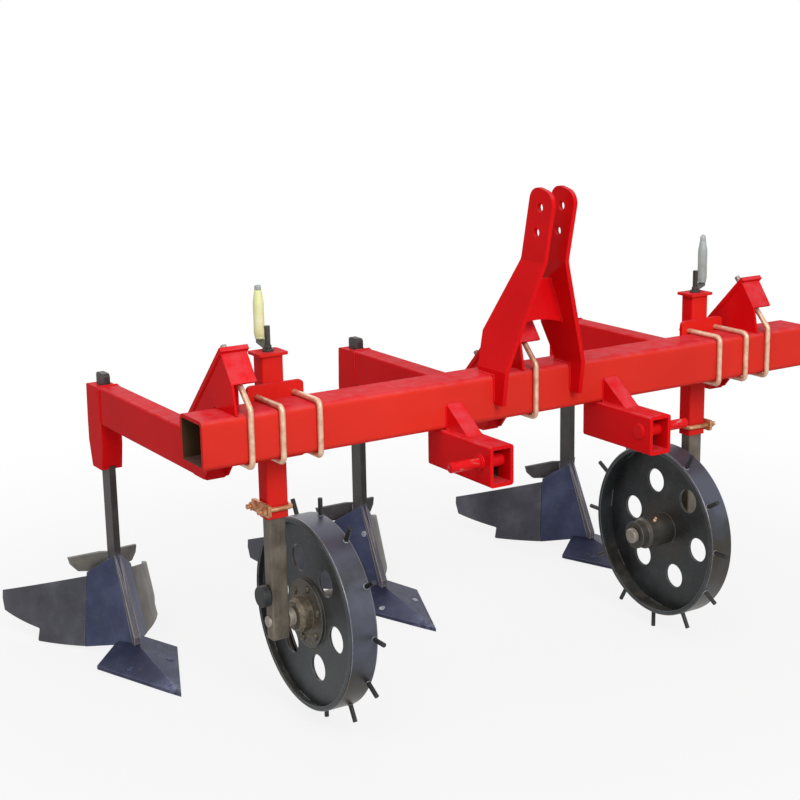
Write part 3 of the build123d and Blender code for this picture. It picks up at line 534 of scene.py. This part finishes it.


# Shanks and yokes: flat bar as it comes from the mill, cut to length; each yoke is welded across its shank.
# They are left unpainted and only oiled; the left yoke is painted paler than the others, as painted top light.

def mill_scale(name, dark, mid, light, rust, drawn_along, soil_line=None):
    """Hot-rolled steel with its scale on: dull dark grey in clouds, fine scratches along one way, brown
    specks and paler rubbed edges. Below a soil line it is scoured to blue-grey, with broad edges painted
    bright, partly rubbed metal and partly a painted highlight. The scratches are coarser than real, to show."""
    made, tree, shader, place = start_material(name, {"Metallic": 0.5})
    clouds = put(tree, "TexNoise", {"Scale": grain(55), "Detail": 5.0, "Roughness": 0.62}, {"Vector": place})
    tone = put(tree, "ValToRGB", {"stops": [(0.3, dark), (0.52, mid), (0.75, light)]}, {"Fac": clouds})
    along = put(tree, "Mapping", {"Scale": drawn_along}, {"Vector": place})
    drawn = put(tree, "TexNoise", {"Scale": grain(2.2), "Detail": 3.0, "Roughness": 0.6}, {"Vector": along})
    marks = put(tree, "ValToRGB", {"stops": [(0.45, 0.0), (0.7, 0.3)]}, {"Fac": drawn})
    marked = put(tree, "Mix", {"data_type": "RGBA", "B": light}, {"Factor": marks, "A": tone})
    pits = put(tree, "TexNoise", {"Scale": grain(18), "Detail": 6.0, "Roughness": 0.7}, {"Vector": place})
    spots = put(tree, "ValToRGB", {"stops": [(0.58, 0.0), (0.72, 0.7)]}, {"Fac": pits})
    spotted = put(tree, "Mix", {"data_type": "RGBA", "B": rust}, {"Factor": spots, "A": marked})
    patch = put(tree, "ValToRGB", {"stops": [(0.35, 0.2), (0.65, 1.0)]}, {"Fac": clouds})
    worn, rounded = edge_wear(tree, 2.0, patch)
    edged = put(tree, "Mix", {"data_type": "RGBA", "B": light}, {"Factor": worn, "A": spotted})
    if soil_line:
        height = put(tree, "SeparateXYZ", None, {"Vector": place}).outputs["Z"]
        below = put(tree, "MapRange", {"From Min": soil_line + 0.01, "From Max": soil_line - 0.02},
                    {"Value": height})
        bare = put(tree, "ValToRGB", {"stops": [(0.3, "#4c4b50"), (0.7, "#68676e")]}, {"Fac": drawn})
        # Below the soil line the broad edges are painted bright: partly rubbed metal, partly a painted highlight.
        rubbed, _ = edge_wear(tree, 4.5, patch)
        bare = put(tree, "Mix", {"data_type": "RGBA", "B": "#aaa6a9"}, {"Factor": rubbed, "A": bare})
        edged = put(tree, "Mix", {"data_type": "RGBA"}, {"Factor": below, "A": edged, "B": bare})
    satin = put(tree, "ValToRGB", {"stops": [(0.25, 0.45), (0.75, 0.65)]}, {"Fac": clouds})
    uneven = put(tree, "Bump", {"Strength": 0.3, "Distance": 0.0005}, {"Height": clouds, "Normal": rounded})
    scored = put(tree, "Bump", {"Strength": 0.35, "Distance": 0.00008}, {"Height": drawn, "Normal": uneven})
    link(tree, shader, {"Base Color": edged, "Roughness": satin, "Normal": scored})
    return made


along_shank = (1.0, 1.0, 0.06)
shank_steel = mill_scale("hot-rolled flat bar", "#2f2b2b", "#3b3636", "#524b4b", "#4b3c35", along_shank,
                         soil_line=0.245)
yoke_weld_levels = (0.193, 0.235)
shank_half = 0.008
shank_back = front + 0.781
along_yoke = (0.06, 1.0, 1.0)
# The left yoke's plate is painted paler, as painted top light.
top_lit_yoke = mill_scale("yoke plate painted paler as top light", "#575450", "#6d6a65", "#8b8780", "#5f5044", along_yoke)
dark_yoke = mill_scale("hot-rolled yoke plate", "#343334", "#424041", "#595657", "#4b3c35", along_yoke)
yoke_steel = {"left": top_lit_yoke, "middle": dark_yoke, "right": dark_yoke}
for row, x in row_x.items():
    dress(shank_steel, f"shank_{row}")
    dress(yoke_steel[row], f"yoke_{row}")
    yoke_welds = [weld_bead([(x + sign * shank_half, shank_back, z) for z in yoke_weld_levels], weld_leg)
                  for sign in sides.values()]
    add_piece(f"yoke_welds_{row}", yoke_welds, shank_steel, f"ridger_{row}")


# Mouldboards: two plates pressed and welded to one raked V, quenched blue-black and left bare.
# A plough bolt through each plate holds them to the shank's foot, and on the middle ridger the bolts' heads
# are scoured bright.

def blued_plate(name, dark, mid, light, sheen, point=None):
    """Quench-blued steel plate: slow blue-grey clouds with a soft sheen, scour marks along the soil's flow,
    patches dulled by soil and rims rubbed pale. A plate that ends in a point is scoured paler in patches
    towards it. The scour marks are coarser than real, to show."""
    made, tree, shader, place = start_material(name, {"Metallic": 0.55})
    clouds = put(tree, "TexNoise", {"Scale": grain(90), "Detail": 4.0, "Roughness": 0.55}, {"Vector": place})
    tone = put(tree, "ValToRGB", {"stops": [(0.28, dark), (0.5, mid), (0.78, light)]}, {"Fac": clouds})
    flow = put(tree, "Mapping", {"Scale": (0.25, 0.08, 1.0)}, {"Vector": place})
    scour = put(tree, "TexNoise", {"Scale": grain(3.0), "Detail": 4.0, "Roughness": 0.6}, {"Vector": flow})
    lines = put(tree, "ValToRGB", {"stops": [(0.5, 0.0), (0.75, 0.28)]}, {"Fac": scour})
    lined = put(tree, "Mix", {"data_type": "RGBA", "B": light}, {"Factor": lines, "A": tone})
    soil = put(tree, "TexNoise", {"Scale": grain(26), "Detail": 6.0, "Roughness": 0.7}, {"Vector": place})
    dull = put(tree, "ValToRGB", {"stops": [(0.55, 0.0), (0.8, 0.25)]}, {"Fac": soil})
    soiled = put(tree, "Mix", {"data_type": "RGBA", "B": "#6b675f"}, {"Factor": dull, "A": lined})
    if point:
        forward = put(tree, "SeparateXYZ", None, {"Vector": place}).outputs["Y"]
        near = put(tree, "MapRange", {"From Min": point + 0.095, "From Max": point + 0.025},
                   {"Value": forward})
        spread = put(tree, "ValToRGB", {"stops": [(0.42, 0.0), (0.6, 0.6)]}, {"Fac": soil})
        rubbed = put(tree, "Math", {"operation": "MULTIPLY"}, {0: near, 1: spread})
        soiled = put(tree, "Mix", {"data_type": "RGBA", "B": "#7b81a0"}, {"Factor": rubbed, "A": soiled})
    patch = put(tree, "ValToRGB", {"stops": [(0.3, 0.3), (0.6, 0.8)]}, {"Fac": scour})
    worn, rounded = edge_wear(tree, 2.2, patch)
    edged = put(tree, "Mix", {"data_type": "RGBA", "B": "#7c7e86"}, {"Factor": worn, "A": soiled})
    satin = put(tree, "ValToRGB", {"stops": [(0.3, sheen), (0.75, sheen + 0.16)]}, {"Fac": scour})
    uneven = put(tree, "Bump", {"Strength": 0.3, "Distance": 0.0008}, {"Height": clouds, "Normal": rounded})
    scored = put(tree, "Bump", {"Strength": 0.35, "Distance": 0.00006}, {"Height": scour, "Normal": uneven})
    link(tree, shader, {"Base Color": edged, "Roughness": satin, "Normal": scored})
    return made


board_steel = blued_plate("blued mouldboard plate", "#2c3149", "#373d58", "#4c5370", 0.42)


def scoured_steel():
    """Bright scoured steel: pale metal with fine crossing scratches, coarser than real, to show."""
    made, tree, shader, place = start_material("scoured bright steel", {"Metallic": 0.9, "Roughness": 0.38})
    rubs = put(tree, "TexNoise", {"Scale": grain(2.0), "Detail": 4.0, "Roughness": 0.65}, {"Vector": place})
    tone = put(tree, "ValToRGB", {"stops": [(0.3, "#7d7e84"), (0.7, "#adaeb3")]}, {"Fac": rubs})
    scratched = put(tree, "Bump", {"Strength": 0.3, "Distance": 0.00006}, {"Height": rubs})
    link(tree, shader, {"Base Color": tone, "Normal": scratched})
    return made


bolt_steel = {"left": board_steel, "middle": scoured_steel(), "right": board_steel}
plough_head = (0.0082, 0.0024)


def domed_head(seat, way, radius, height):
    """Low domed bolt or rivet head with a rolled rim, let a little into the surface."""
    profile = [(1.0, -0.3), (1.0, 0.25), (0.96, 0.5), (0.8, 0.74), (0.55, 0.91), (0.28, 0.98), (0.04, 1.0)]
    return turned(seat, way, [(radius * r, height * h) for r, h in profile], 32)


ridge_foot = front + 0.61995
ridge_rake = 0.457
board_way = (0.47136, 0.88194)
board_bolt_high = 0.170
board_bolt_off = 0.0255
board_bolt_root = ridge_foot + ridge_rake * board_bolt_high
for row, x in row_x.items():
    dress(board_steel, f"mouldboards_{row}")
    heads = []
    for sign in sides.values():
        out = Vector((sign * board_way[0], board_way[1], 0))
        normal = out.cross(Vector((0, ridge_rake, 1))) * sign
        seat = Vector((x, board_bolt_root, board_bolt_high)) + out * board_bolt_off
        heads.append(domed_head(seat, normal, *plough_head))
    add_piece(f"board_bolts_{row}", heads, bolt_steel[row], f"ridger_{row}")


# Shares: two hardened blades that fall away from a centre crease to a point, bolted under the boards.
# They are oil-quenched to a deep blue, ground at the edges, with one plough bolt in each blade.

share_steel = blued_plate("hardened share steel", "#1f2239", "#282c47", "#40465f", 0.38,
                          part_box("share_left")[0].y)
share_bolt_off = 0.0506
share_bolt = (front + 0.5736, 0.0190)
blade_fall = 0.3182
blade_rise = 0.157
for row, x in row_x.items():
    dress(share_steel, f"share_{row}")
    heads = [domed_head((x + sign * share_bolt_off, *share_bolt), (sign * blade_fall, -blade_rise, 1.0),
                        *plough_head) for sign in sides.values()]
    add_piece(f"share_bolts_{row}", heads, bolt_steel[row], f"ridger_{row}")


# Wings: curved plates that carry the boards' sweep further back, stepped below, each on a raked hinge pin.
# They are the same quenched plate as the boards, a little greyer where the heat was less. The right wings are
# scoured through to a paler, browner grey.

wing_steel = {
    "left": blued_plate("blued wing plate", "#3b3b43", "#484850", "#5f6068", 0.44),
    "right": blued_plate("scoured wing plate", "#595551", "#6b6762", "#8c877e", 0.44)}
for row in rows:
    for side in sides:
        dress(wing_steel[side], f"wing_{row}_{side}")


# Wheel sleeves: square tubes welded upright to a saddle plate, with a cap that holds the jack screw.
# Two plated U-bolts round the beam clamp each saddle, and a small U-shaped lock grips the tube's lower end.

# The sleeves' front faces are painted a paler, warmer red as painted light.
sleeve_enamel = red_enamel("red enamel on sleeve with painted front light", 0.6)
sleeve_half = 0.025
cap_seam_half = (0.024, 0.019)
sleeve_roof = 0.820
sleeve_mid = front + 0.128
saddle_face = rear + 0.008
saddle_levels = (under - 0.024, top + 0.024)
sleeve_welds = []
for side in sides:
    middle = middle_of(f"wheel_sleeve_{side}").x
    for sign in sides.values():
        x = middle + sign * sleeve_half
        sleeve_welds.append(weld_bead([(x, saddle_face, z) for z in saddle_levels], weld_leg))
    ring = [(middle + a * cap_seam_half[0], sleeve_mid + b * cap_seam_half[1], sleeve_roof)
            for a, b in ((-1, -1), (1, -1), (1, 1), (-1, 1))]
    sleeve_welds.append(weld_bead(ring, fine_leg, True))
    dress(sleeve_enamel, f"wheel_sleeve_{side}")
add_piece("sleeve_welds", sleeve_welds, enamel, "frame")

dress(zinc, "u_bolts")
lock_zinc = passivated_zinc("bronzed zinc plate", "#99683f", "#c38e64", "#ddb68f")
dress(lock_zinc, "post_locks")
thread_on_u = 0.0098
u_leg_off = 0.03
backward = Vector((0, 1, 0))
u_threads = []
for solid in solids_of("u_bolts"):
    for half in (1, -1):
        leg = [p for p in solid if (p.z - (under + top) / 2) * half > u_leg_off]
        u_threads.append(rolled_thread(end_of(leg, backward), backward, thread_on_u, bolt_radius, bolt_pitch))
add_piece("u_bolt_threads", u_threads, zinc, "frame")

saddle_nuts = [hex_nut(end_of(solid, -backward), backward, nut_flats, nut_tall, bolt_radius)
               for solid in solids_of("u_bolt_nuts")]
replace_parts(add_piece("saddle_nuts", saddle_nuts, zinc, "frame"), "u_bolt_nuts")

lock_radius = 0.005
lock_pitch = 0.0015
thread_on_lock = 0.0085
lock_threads = []
for solid in solids_of("post_locks"):
    sign = 1 if solid[0].x > 0 else -1
    middle = sum(solid, Vector()) / len(solid)
    for half in (1, -1):
        leg = [p for p in solid if (p.y - middle.y) * half > 0]
        tip = end_of(leg, (sign, 0, 0))
        lock_threads.append(rolled_thread(tip, (sign, 0, 0), thread_on_lock, lock_radius, lock_pitch))
add_piece("lock_threads", lock_threads, lock_zinc, "frame")


# Wheel posts: bare drawn tube that slides in the sleeve, with a turned stub axle across the foot.
# A round rubber stop is plugged into the outer side.

along_post = (1.0, 1.0, 0.05)
along_axle = (0.05, 1.0, 1.0)
post_steel = mill_scale("bare drawn tube", "#4f4840", "#686056", "#867d70", "#5f4534", along_post)
axle_steel = mill_scale("greased turned steel", "#6a645a", "#8f897e", "#b5afa4", "#5a4231", along_axle)


def moulded_rubber():
    """Black moulded rubber: matt, with a grey bloom and a fine grain, coarser than real, to show."""
    made, tree, shader, place = start_material("moulded black rubber", {"Roughness": 0.62, "IOR": 1.5})
    bloom = put(tree, "TexNoise", {"Scale": grain(12), "Detail": 4.0, "Roughness": 0.6}, {"Vector": place})
    tone = put(tree, "ValToRGB", {"stops": [(0.35, "#17181a"), (0.75, "#2c2d2e")]}, {"Fac": bloom})
    fine = put(tree, "TexNoise", {"Scale": grain(0.9), "Detail": 2.0}, {"Vector": place})
    grained = put(tree, "Bump", {"Strength": 0.4, "Distance": 0.00005}, {"Height": fine})
    link(tree, shader, {"Base Color": tone, "Normal": grained})
    return made


rubber = moulded_rubber()
axle_profile = [(0.0150, 0.386), (0.0180, 0.389), (0.0180, 0.398), (0.0170, 0.399), (0.0120, 0.399),
                (0.0120, 0.541), (0.0190, 0.541), (0.0200, 0.542), (0.0200, 0.555), (0.0190, 0.556),
                (0.0120, 0.556), (0.0120, 0.6005), (0.0105, 0.602)]
for side, sign in sides.items():
    dress(post_steel, f"wheel_post_{side}")
    dress(rubber, f"post_stop_{side}")
    hub = middle_of(f"wheel_disc_{side}")
    axle = turned((0, hub.y, hub.z), (sign, 0, 0), axle_profile)
    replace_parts(add_piece(f"turned_axle_{side}", [axle], axle_steel, f"post_{side}"),
                f"wheel_axle_{side}")


# Gauge wheels: rolled rim, pressed disc with six round windows, riveted hub barrel and welded round spikes.
# Thin black paint on steel, scuffed to blue-grey, with the tread painted lighter blue-grey towards the top as a
# # painted highlight; faces turned up are lightened, partly a dusting and partly painted top light.

def black_wheel_paint(hub_place, tread, flange):
    """Thin black paint on rolled steel: soft dull sheen with blue-grey scuffs, a brown dusting on tops that
    also serves as painted top light, edges rubbed to metal. The tread is painted lighter blue-grey towards
    the top as a painted highlight, and darker and browner towards the bottom; its lips are painted very
    pale, partly rubbed metal and partly a painted highlight. Old grease browns the hub, palest on its
    flange. The grain is coarser than real, to show."""
    made, tree, shader, place = start_material("thin black paint on steel", {"Metallic": 0.4})
    clouds = put(tree, "TexNoise", {"Scale": grain(60), "Detail": 5.0, "Roughness": 0.6}, {"Vector": place})
    tone = put(tree, "ValToRGB", {"stops": [(0.3, "#262829"), (0.55, "#353839"), (0.8, "#4a4e52")]},
               {"Fac": clouds})
    rubs = put(tree, "TexNoise", {"Scale": grain(7), "Detail": 6.0, "Roughness": 0.7}, {"Vector": place})
    scuff = put(tree, "ValToRGB", {"stops": [(0.55, 0.0), (0.75, 0.45)]}, {"Fac": rubs})
    scuffed = put(tree, "Mix", {"data_type": "RGBA", "B": "#666b71"}, {"Factor": scuff, "A": tone})
    # Faces turned up are lightened: partly a dusting, partly painted top light.
    top_dust_and_light = dust_and_top_light(tree, place, 0.05, 0.5)
    dusted_and_top_lit = put(tree, "Mix", {"data_type": "RGBA", "B": "#7d7566"}, {"Factor": top_dust_and_light, "A": scuffed})
    off = put(tree, "VectorMath", {"operation": "SUBTRACT", 1: hub_place}, {0: place})
    spoke = put(tree, "VectorMath", {"operation": "MULTIPLY", 1: (0.0, 1.0, 1.0)}, {0: off})
    radius = put(tree, "VectorMath", {"operation": "LENGTH"}, {0: spoke})
    near = put(tree, "MapRange", {"From Min": 0.095, "From Max": 0.035}, {"Value": radius})
    smear = put(tree, "Math", {"operation": "MULTIPLY_ADD", 1: 2.2, 2: -0.6}, {0: rubs})
    grease = put(tree, "Math", {"operation": "MULTIPLY", "use_clamp": True}, {0: near, 1: smear})
    across = put(tree, "VectorMath", {"operation": "ABSOLUTE"}, {0: off})
    depth = put(tree, "SeparateXYZ", None, {"Vector": across}).outputs["X"]
    outer = put(tree, "MapRange", {"From Min": flange - 0.012, "From Max": flange - 0.002}, {"Value": depth})
    film = put(tree, "Mix", {"data_type": "RGBA", "A": "#4f473b", "B": "#8a7b60"}, {"Factor": outer})
    greasy = put(tree, "Mix", {"data_type": "RGBA"}, {"Factor": grease, "A": dusted_and_top_lit, "B": film})
    # The tread is painted lighter blue-grey towards the top as a painted highlight, and darker and browner towards the
    # bottom.
    tread_blotches = put(tree, "TexNoise", {"Scale": grain(150), "Detail": 4.0, "Roughness": 0.55}, {"Vector": place})
    height = put(tree, "SeparateXYZ", None, {"Vector": off}).outputs["Z"]
    tread_height_and_blotches = put(tree, "Math", {"operation": "MULTIPLY_ADD", 1: 1.2}, {0: height, 2: tread_blotches})
    tread_highlight_to_brown = put(tree, "ValToRGB", {"stops": [(0.40, "#352f27"), (0.52, "#393b40"), (0.68, "#4e525f")]},
                 {"Fac": tread_height_and_blotches})
    rim = put(tree, "MapRange", {"From Min": tread - 0.0025, "From Max": tread - 0.0008}, {"Value": radius})
    with_tread_highlight = put(tree, "Mix", {"data_type": "RGBA"}, {"Factor": rim, "A": greasy, "B": tread_highlight_to_brown})
    patch = put(tree, "ValToRGB", {"stops": [(0.3, 0.3), (0.6, 1.0)]}, {"Fac": clouds})
    worn, rounded = edge_wear(tree, 2.6, patch)
    # The tread's lips are painted very pale: partly rubbed metal, partly a painted highlight.
    lip_wear_and_highlight = put(tree, "Mix", {"data_type": "RGBA", "A": "#767b7f", "B": "#c3c7cc"}, {"Factor": rim})
    edged = put(tree, "Mix", {"data_type": "RGBA"}, {"Factor": worn, "A": with_tread_highlight, "B": lip_wear_and_highlight})
    dull = put(tree, "ValToRGB", {"stops": [(0.3, 0.36), (0.75, 0.56)]}, {"Fac": clouds})
    satin = put(tree, "Mix", {"data_type": "FLOAT", "B": 0.36}, {"Factor": rim, "A": dull})
    uneven = put(tree, "Bump", {"Strength": 0.3, "Distance": 0.0006}, {"Height": clouds, "Normal": rounded})
    fine = put(tree, "TexNoise", {"Scale": grain(3.5), "Detail": 3.0, "Roughness": 0.6}, {"Vector": place})
    grained = put(tree, "Bump", {"Strength": 0.35, "Distance": 0.00008}, {"Height": fine, "Normal": uneven})
    link(tree, shader, {"Base Color": edged, "Roughness": satin, "Normal": grained})
    return made


tread_radius = 0.210
flange_face = 0.511
wheel_paint = black_wheel_paint((0.0, *middle_of("wheel_disc_left").yz), tread_radius, flange_face)
along_spike = (0.3, 0.3, 0.3)
spike_steel = mill_scale("black round bar", "#1f2021", "#2c2d2e", "#47494b", "#3a2f28", along_spike)
rivet_circle = 0.058
rivet_count = 6
rivet_start = math.radians(42)
rivet_head = (0.0085, 0.006)
spike_count = 12
spike_x = 0.466
spike_seam = 0.0056
spike_leg = 0.0018
disc_faces = (0.497, 0.503)
rim_inside = 0.204
stitch_count = 8
stitch_start = math.radians(8)
stitch_turn = math.radians(13)
stitch_leg = 0.0030
nipple_x = 0.446
nipple_way = Vector((0, -0.5, 0.866))
hub_radius = 0.038
nipple_profile = [(0.0045, -0.001), (0.0045, 0.0035), (0.0028, 0.0045), (0.0024, 0.0075), (0.0033, 0.0090),
                  (0.0033, 0.0103), (0.0016, 0.0115)]


def on_wheel(hub, x, radius, turn):
    """Point at a place along the axle, a radius and a turn about the hub."""
    return Vector((x, hub.y + radius * math.cos(turn), hub.z + radius * math.sin(turn)))


for side, sign in sides.items():
    dress(wheel_paint, f"wheel_rim_{side}", f"wheel_disc_{side}")
    dress(spike_steel, f"wheel_spikes_{side}")
    hub = middle_of(f"wheel_disc_{side}")
    rivets = [domed_head(on_wheel(hub, sign * flange_face, rivet_circle, turn + rivet_start), (sign, 0, 0),
                         *rivet_head) for turn in turns(rivet_count)]
    add_piece(f"hub_rivets_{side}", rivets, wheel_paint, f"wheel_{side}")

    wheel_welds = []
    for turn in turns(spike_count):
        turn -= math.pi / 2
        along = Vector((0, -math.sin(turn), math.cos(turn)))
        foot = on_wheel(hub, sign * spike_x, tread_radius, turn)
        ring = [foot + (Vector((1, 0, 0)) * math.cos(t) + along * math.sin(t)) * spike_seam for t in turns(8)]
        wheel_welds.append(weld_bead(ring, spike_leg, True))
    for turn in turns(stitch_count):
        bends = [turn + stitch_start + stitch_turn * (k / 6 - 0.5) for k in range(7)]
        for x in disc_faces:
            stitch = [on_wheel(hub, sign * x, rim_inside, bend) for bend in bends]
            wheel_welds.append(weld_bead(stitch, stitch_leg))
    add_piece(f"wheel_welds_{side}", wheel_welds, wheel_paint, f"wheel_{side}")

    seat = Vector((sign * nipple_x, hub.y, hub.z)) + nipple_way * hub_radius
    nipple = turned(seat, nipple_way, nipple_profile, 24)
    add_piece(f"grease_nipple_{side}", [nipple], zinc, f"wheel_{side}")


# Jacks: oiled steel screw in the sleeve's cap, turned by a forged arm with a loose grip on its spindle.
# The grips are smooth moulded plastic, the left faded to pale yellow and the right to grey-green, with a
# grey cap pressed on each spindle's end.

along_jack = (1.0, 1.0, 0.3)
jack_steel = mill_scale("oiled forged steel", "#2a2927", "#3b3936", "#595650", "#3f3129", along_jack)


def moulded_grip(name, dark, mid, light):
    """Smooth moulded plastic: faded in clouds, with hand grime and a soft gloss. Its fine grain is coarser
    than real, to show."""
    made, tree, shader, place = start_material(
        name, {"Roughness": 0.36, "IOR": 1.48, "Subsurface Weight": 0.06,
               "Subsurface Radius": (0.004, 0.004, 0.002)})
    fade = put(tree, "TexNoise", {"Scale": grain(34), "Detail": 3.0, "Roughness": 0.55}, {"Vector": place})
    tone = put(tree, "ValToRGB", {"stops": [(0.3, dark), (0.55, mid), (0.8, light)]}, {"Fac": fade})
    hands = put(tree, "TexNoise", {"Scale": grain(5), "Detail": 5.0, "Roughness": 0.65}, {"Vector": place})
    grime = put(tree, "ValToRGB", {"stops": [(0.6, 0.0), (0.8, 0.3)]}, {"Fac": hands})
    used = put(tree, "Mix", {"data_type": "RGBA", "B": "#8d8c70"}, {"Factor": grime, "A": tone})
    fine = put(tree, "TexNoise", {"Scale": grain(1.4), "Detail": 2.0}, {"Vector": place})
    grained = put(tree, "Bump", {"Strength": 0.3, "Distance": 0.00004}, {"Height": fine})
    link(tree, shader, {"Base Color": used, "Normal": grained})
    return made


grip_plastic = {
    "left": moulded_grip("faded yellow plastic", "#dcdf9a", "#e8ebb3", "#f2f4cc"),
    "right": moulded_grip("faded grey plastic", "#8d9894", "#a4adaa", "#bac1be")}
cap_plastic = moulded_grip("grey plastic cap", "#8f9792", "#a9b0ab", "#c0c6c2")
grip_long = 0.102
grip_bore = 0.0041
grip_profile = [(0.0, 0.0086), (0.004, 0.0093), (0.02, 0.0098), (0.03, 0.0103), (0.042, 0.0099),
                (0.06, 0.0103), (0.09, 0.0110), (0.13, 0.0114), (0.25, 0.0114), (0.5, 0.0112), (0.68, 0.0114),
                (0.75, 0.0113), (0.81, 0.0106), (0.87, 0.0095), (0.92, 0.0087), (0.96, 0.0082),
                (0.985, 0.0077), (1.0, 0.0068)]
cap_lip = [(0.0066, 0.0), (0.0070, 0.0005)]
cap_profiles = {
    "left": cap_lip + [(0.0070, 0.0062), (0.0064, 0.0084), (0.0046, 0.0099), (0.0010, 0.0104)],
    "right": cap_lip + [(0.0070, 0.0052), (0.0067, 0.0092), (0.0048, 0.0128), (0.0010, 0.0150)]}
cap_clear = 0.0004
for side in sides:
    dress(jack_steel, f"jack_screw_{side}", f"crank_arm_{side}")
    low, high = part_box(f"crank_grip_{side}")
    foot = Vector(((low.x + high.x) / 2, (low.y + high.y) / 2, low.z))
    rings = [(grip_bore, 0.0)] + [(r, grip_long * t) for t, r in grip_profile] + [(grip_bore, grip_long)]
    grip = turned(foot, (0, 0, 1), rings, 40, True)
    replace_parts(add_piece(f"moulded_grip_{side}", [grip], grip_plastic[side], f"crank_{side}"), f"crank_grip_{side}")
    cap = turned((foot.x, foot.y, high.z + cap_clear), (0, 0, 1), cap_profiles[side], 32)
    add_piece(f"spindle_cap_{side}", [cap], cap_plastic, f"crank_{side}")


# Studio: pale floor that fades to white away from the machine, white surround and three broad soft lights.
# The floor keeps the machine's shadow.

def white_where_seen(tree, plain, white, share=None):
    """Plain shading for light that strikes the machine, and white for what the eye or a gloss sees."""
    path = put(tree, "LightPath")
    seen = put(tree, "Math", {"operation": "MAXIMUM"},
               {0: path.outputs["Is Camera Ray"], 1: path.outputs["Is Glossy Ray"]})
    seen = put(tree, "Math", {"operation": "MAXIMUM"}, {0: seen, 1: path.outputs["Is Transmission Ray"]})
    if share:
        seen = put(tree, "Math", {"operation": "MULTIPLY"}, {0: seen, 1: share})
    return put(tree, "MixShader", None, {0: seen, 1: plain, 2: white})


def studio_white():
    """Matt white paint on the floor: keeps the shadow near the machine, and fades to white further off."""
    made = bpy.data.materials.new("matt white studio floor")
    tree = bare_tree(made)
    matt = put(tree, "BsdfDiffuse", {"Color": colour(0.55)})
    lift = put(tree, "Emission", {"Color": colour(1.0), "Strength": 1.0})
    place = put(tree, "TexCoord").outputs["Object"]
    away = put(tree, "VectorMath", {"operation": "LENGTH"}, {0: place})
    share = put(tree, "MapRange", {"interpolation_type": "SMOOTHSTEP", "From Min": 0.7, "From Max": 2.4,
                                   "To Min": 0.85}, {"Value": away})
    both = white_where_seen(tree, matt, lift, share)
    put(tree, "OutputMaterial", None, {"Surface": both})
    return made


floor_half = 30.0
floor_corners = [(-floor_half, -floor_half, 0), (floor_half, -floor_half, 0),
                 (floor_half, floor_half, 0), (-floor_half, floor_half, 0)]
floor = add_piece("floor", [(floor_corners, [(0, 1, 2, 3)])], studio_white(), None)

scene = bpy.context.scene
scene.view_settings.view_transform = "Standard"
world = bpy.data.worlds.new("white surround")
scene.world = world
sky = bare_tree(world)
dim = put(sky, "Background", {"Color": colour(1.0), "Strength": 0.42})
white = put(sky, "Background", {"Color": colour(1.0), "Strength": 1.0})
put(sky, "OutputWorld", None, {"Surface": white_where_seen(sky, dim, white)})


def soft_light(name, place, target, size, power):
    """Round soft lamp turned towards a point."""
    lamp = bpy.data.lights.new(name, "AREA")
    lamp.shape = "DISK"
    lamp.size = size
    lamp.energy = power
    stand = bpy.data.objects.new(name, lamp)
    stand.location = place
    stand.rotation_mode = "QUATERNION"
    stand.rotation_quaternion = (Vector(target) - Vector(place)).to_track_quat("-Z", "Y")
    scene.collection.objects.link(stand)


aim = (0, 0, 0.5)
soft_light("key", (-0.7, -4.8, 3.5), aim, 2.6, 180)
soft_light("fill_left", (-3.0, -1.6, 5.0), aim, 3.0, 70)
soft_light("back", (0.5, 4.0, 3.5), aim, 3.0, 50)


# Camera: on the tractor's side of the machine and to its left, a little above the beam, with a medium
# telephoto lens. Its place, turn and focal length are fitted to the beam, the hitch boxes and the bolts.

camera_turn = math.radians(-31.95)
camera_fall = math.radians(13.44)
camera_roll = math.radians(-1.06)
camera_place = Vector((-2.01246, -3.11470, 1.46956))
focal_pixels = 1583.46
picture_pixels = 800
sensor_mm = 36.0

ahead = Vector((-math.sin(camera_turn) * math.cos(camera_fall),
                math.cos(camera_turn) * math.cos(camera_fall), -math.sin(camera_fall)))
level = Vector((math.cos(camera_turn), math.sin(camera_turn), 0))
upright = level.cross(ahead)
across = level * math.cos(camera_roll) + upright * math.sin(camera_roll)
upward = upright * math.cos(camera_roll) - level * math.sin(camera_roll)
lens = bpy.data.cameras.new("camera")
lens.sensor_width = sensor_mm
lens.lens = focal_pixels * sensor_mm / picture_pixels
camera = bpy.data.objects.new("camera", lens)
camera.matrix_world = Matrix((
    (across.x, upward.x, -ahead.x, camera_place.x),
    (across.y, upward.y, -ahead.y, camera_place.y),
    (across.z, upward.z, -ahead.z, camera_place.z),
    (0, 0, 0, 1)))
scene.collection.objects.link(camera)
scene.camera = camera
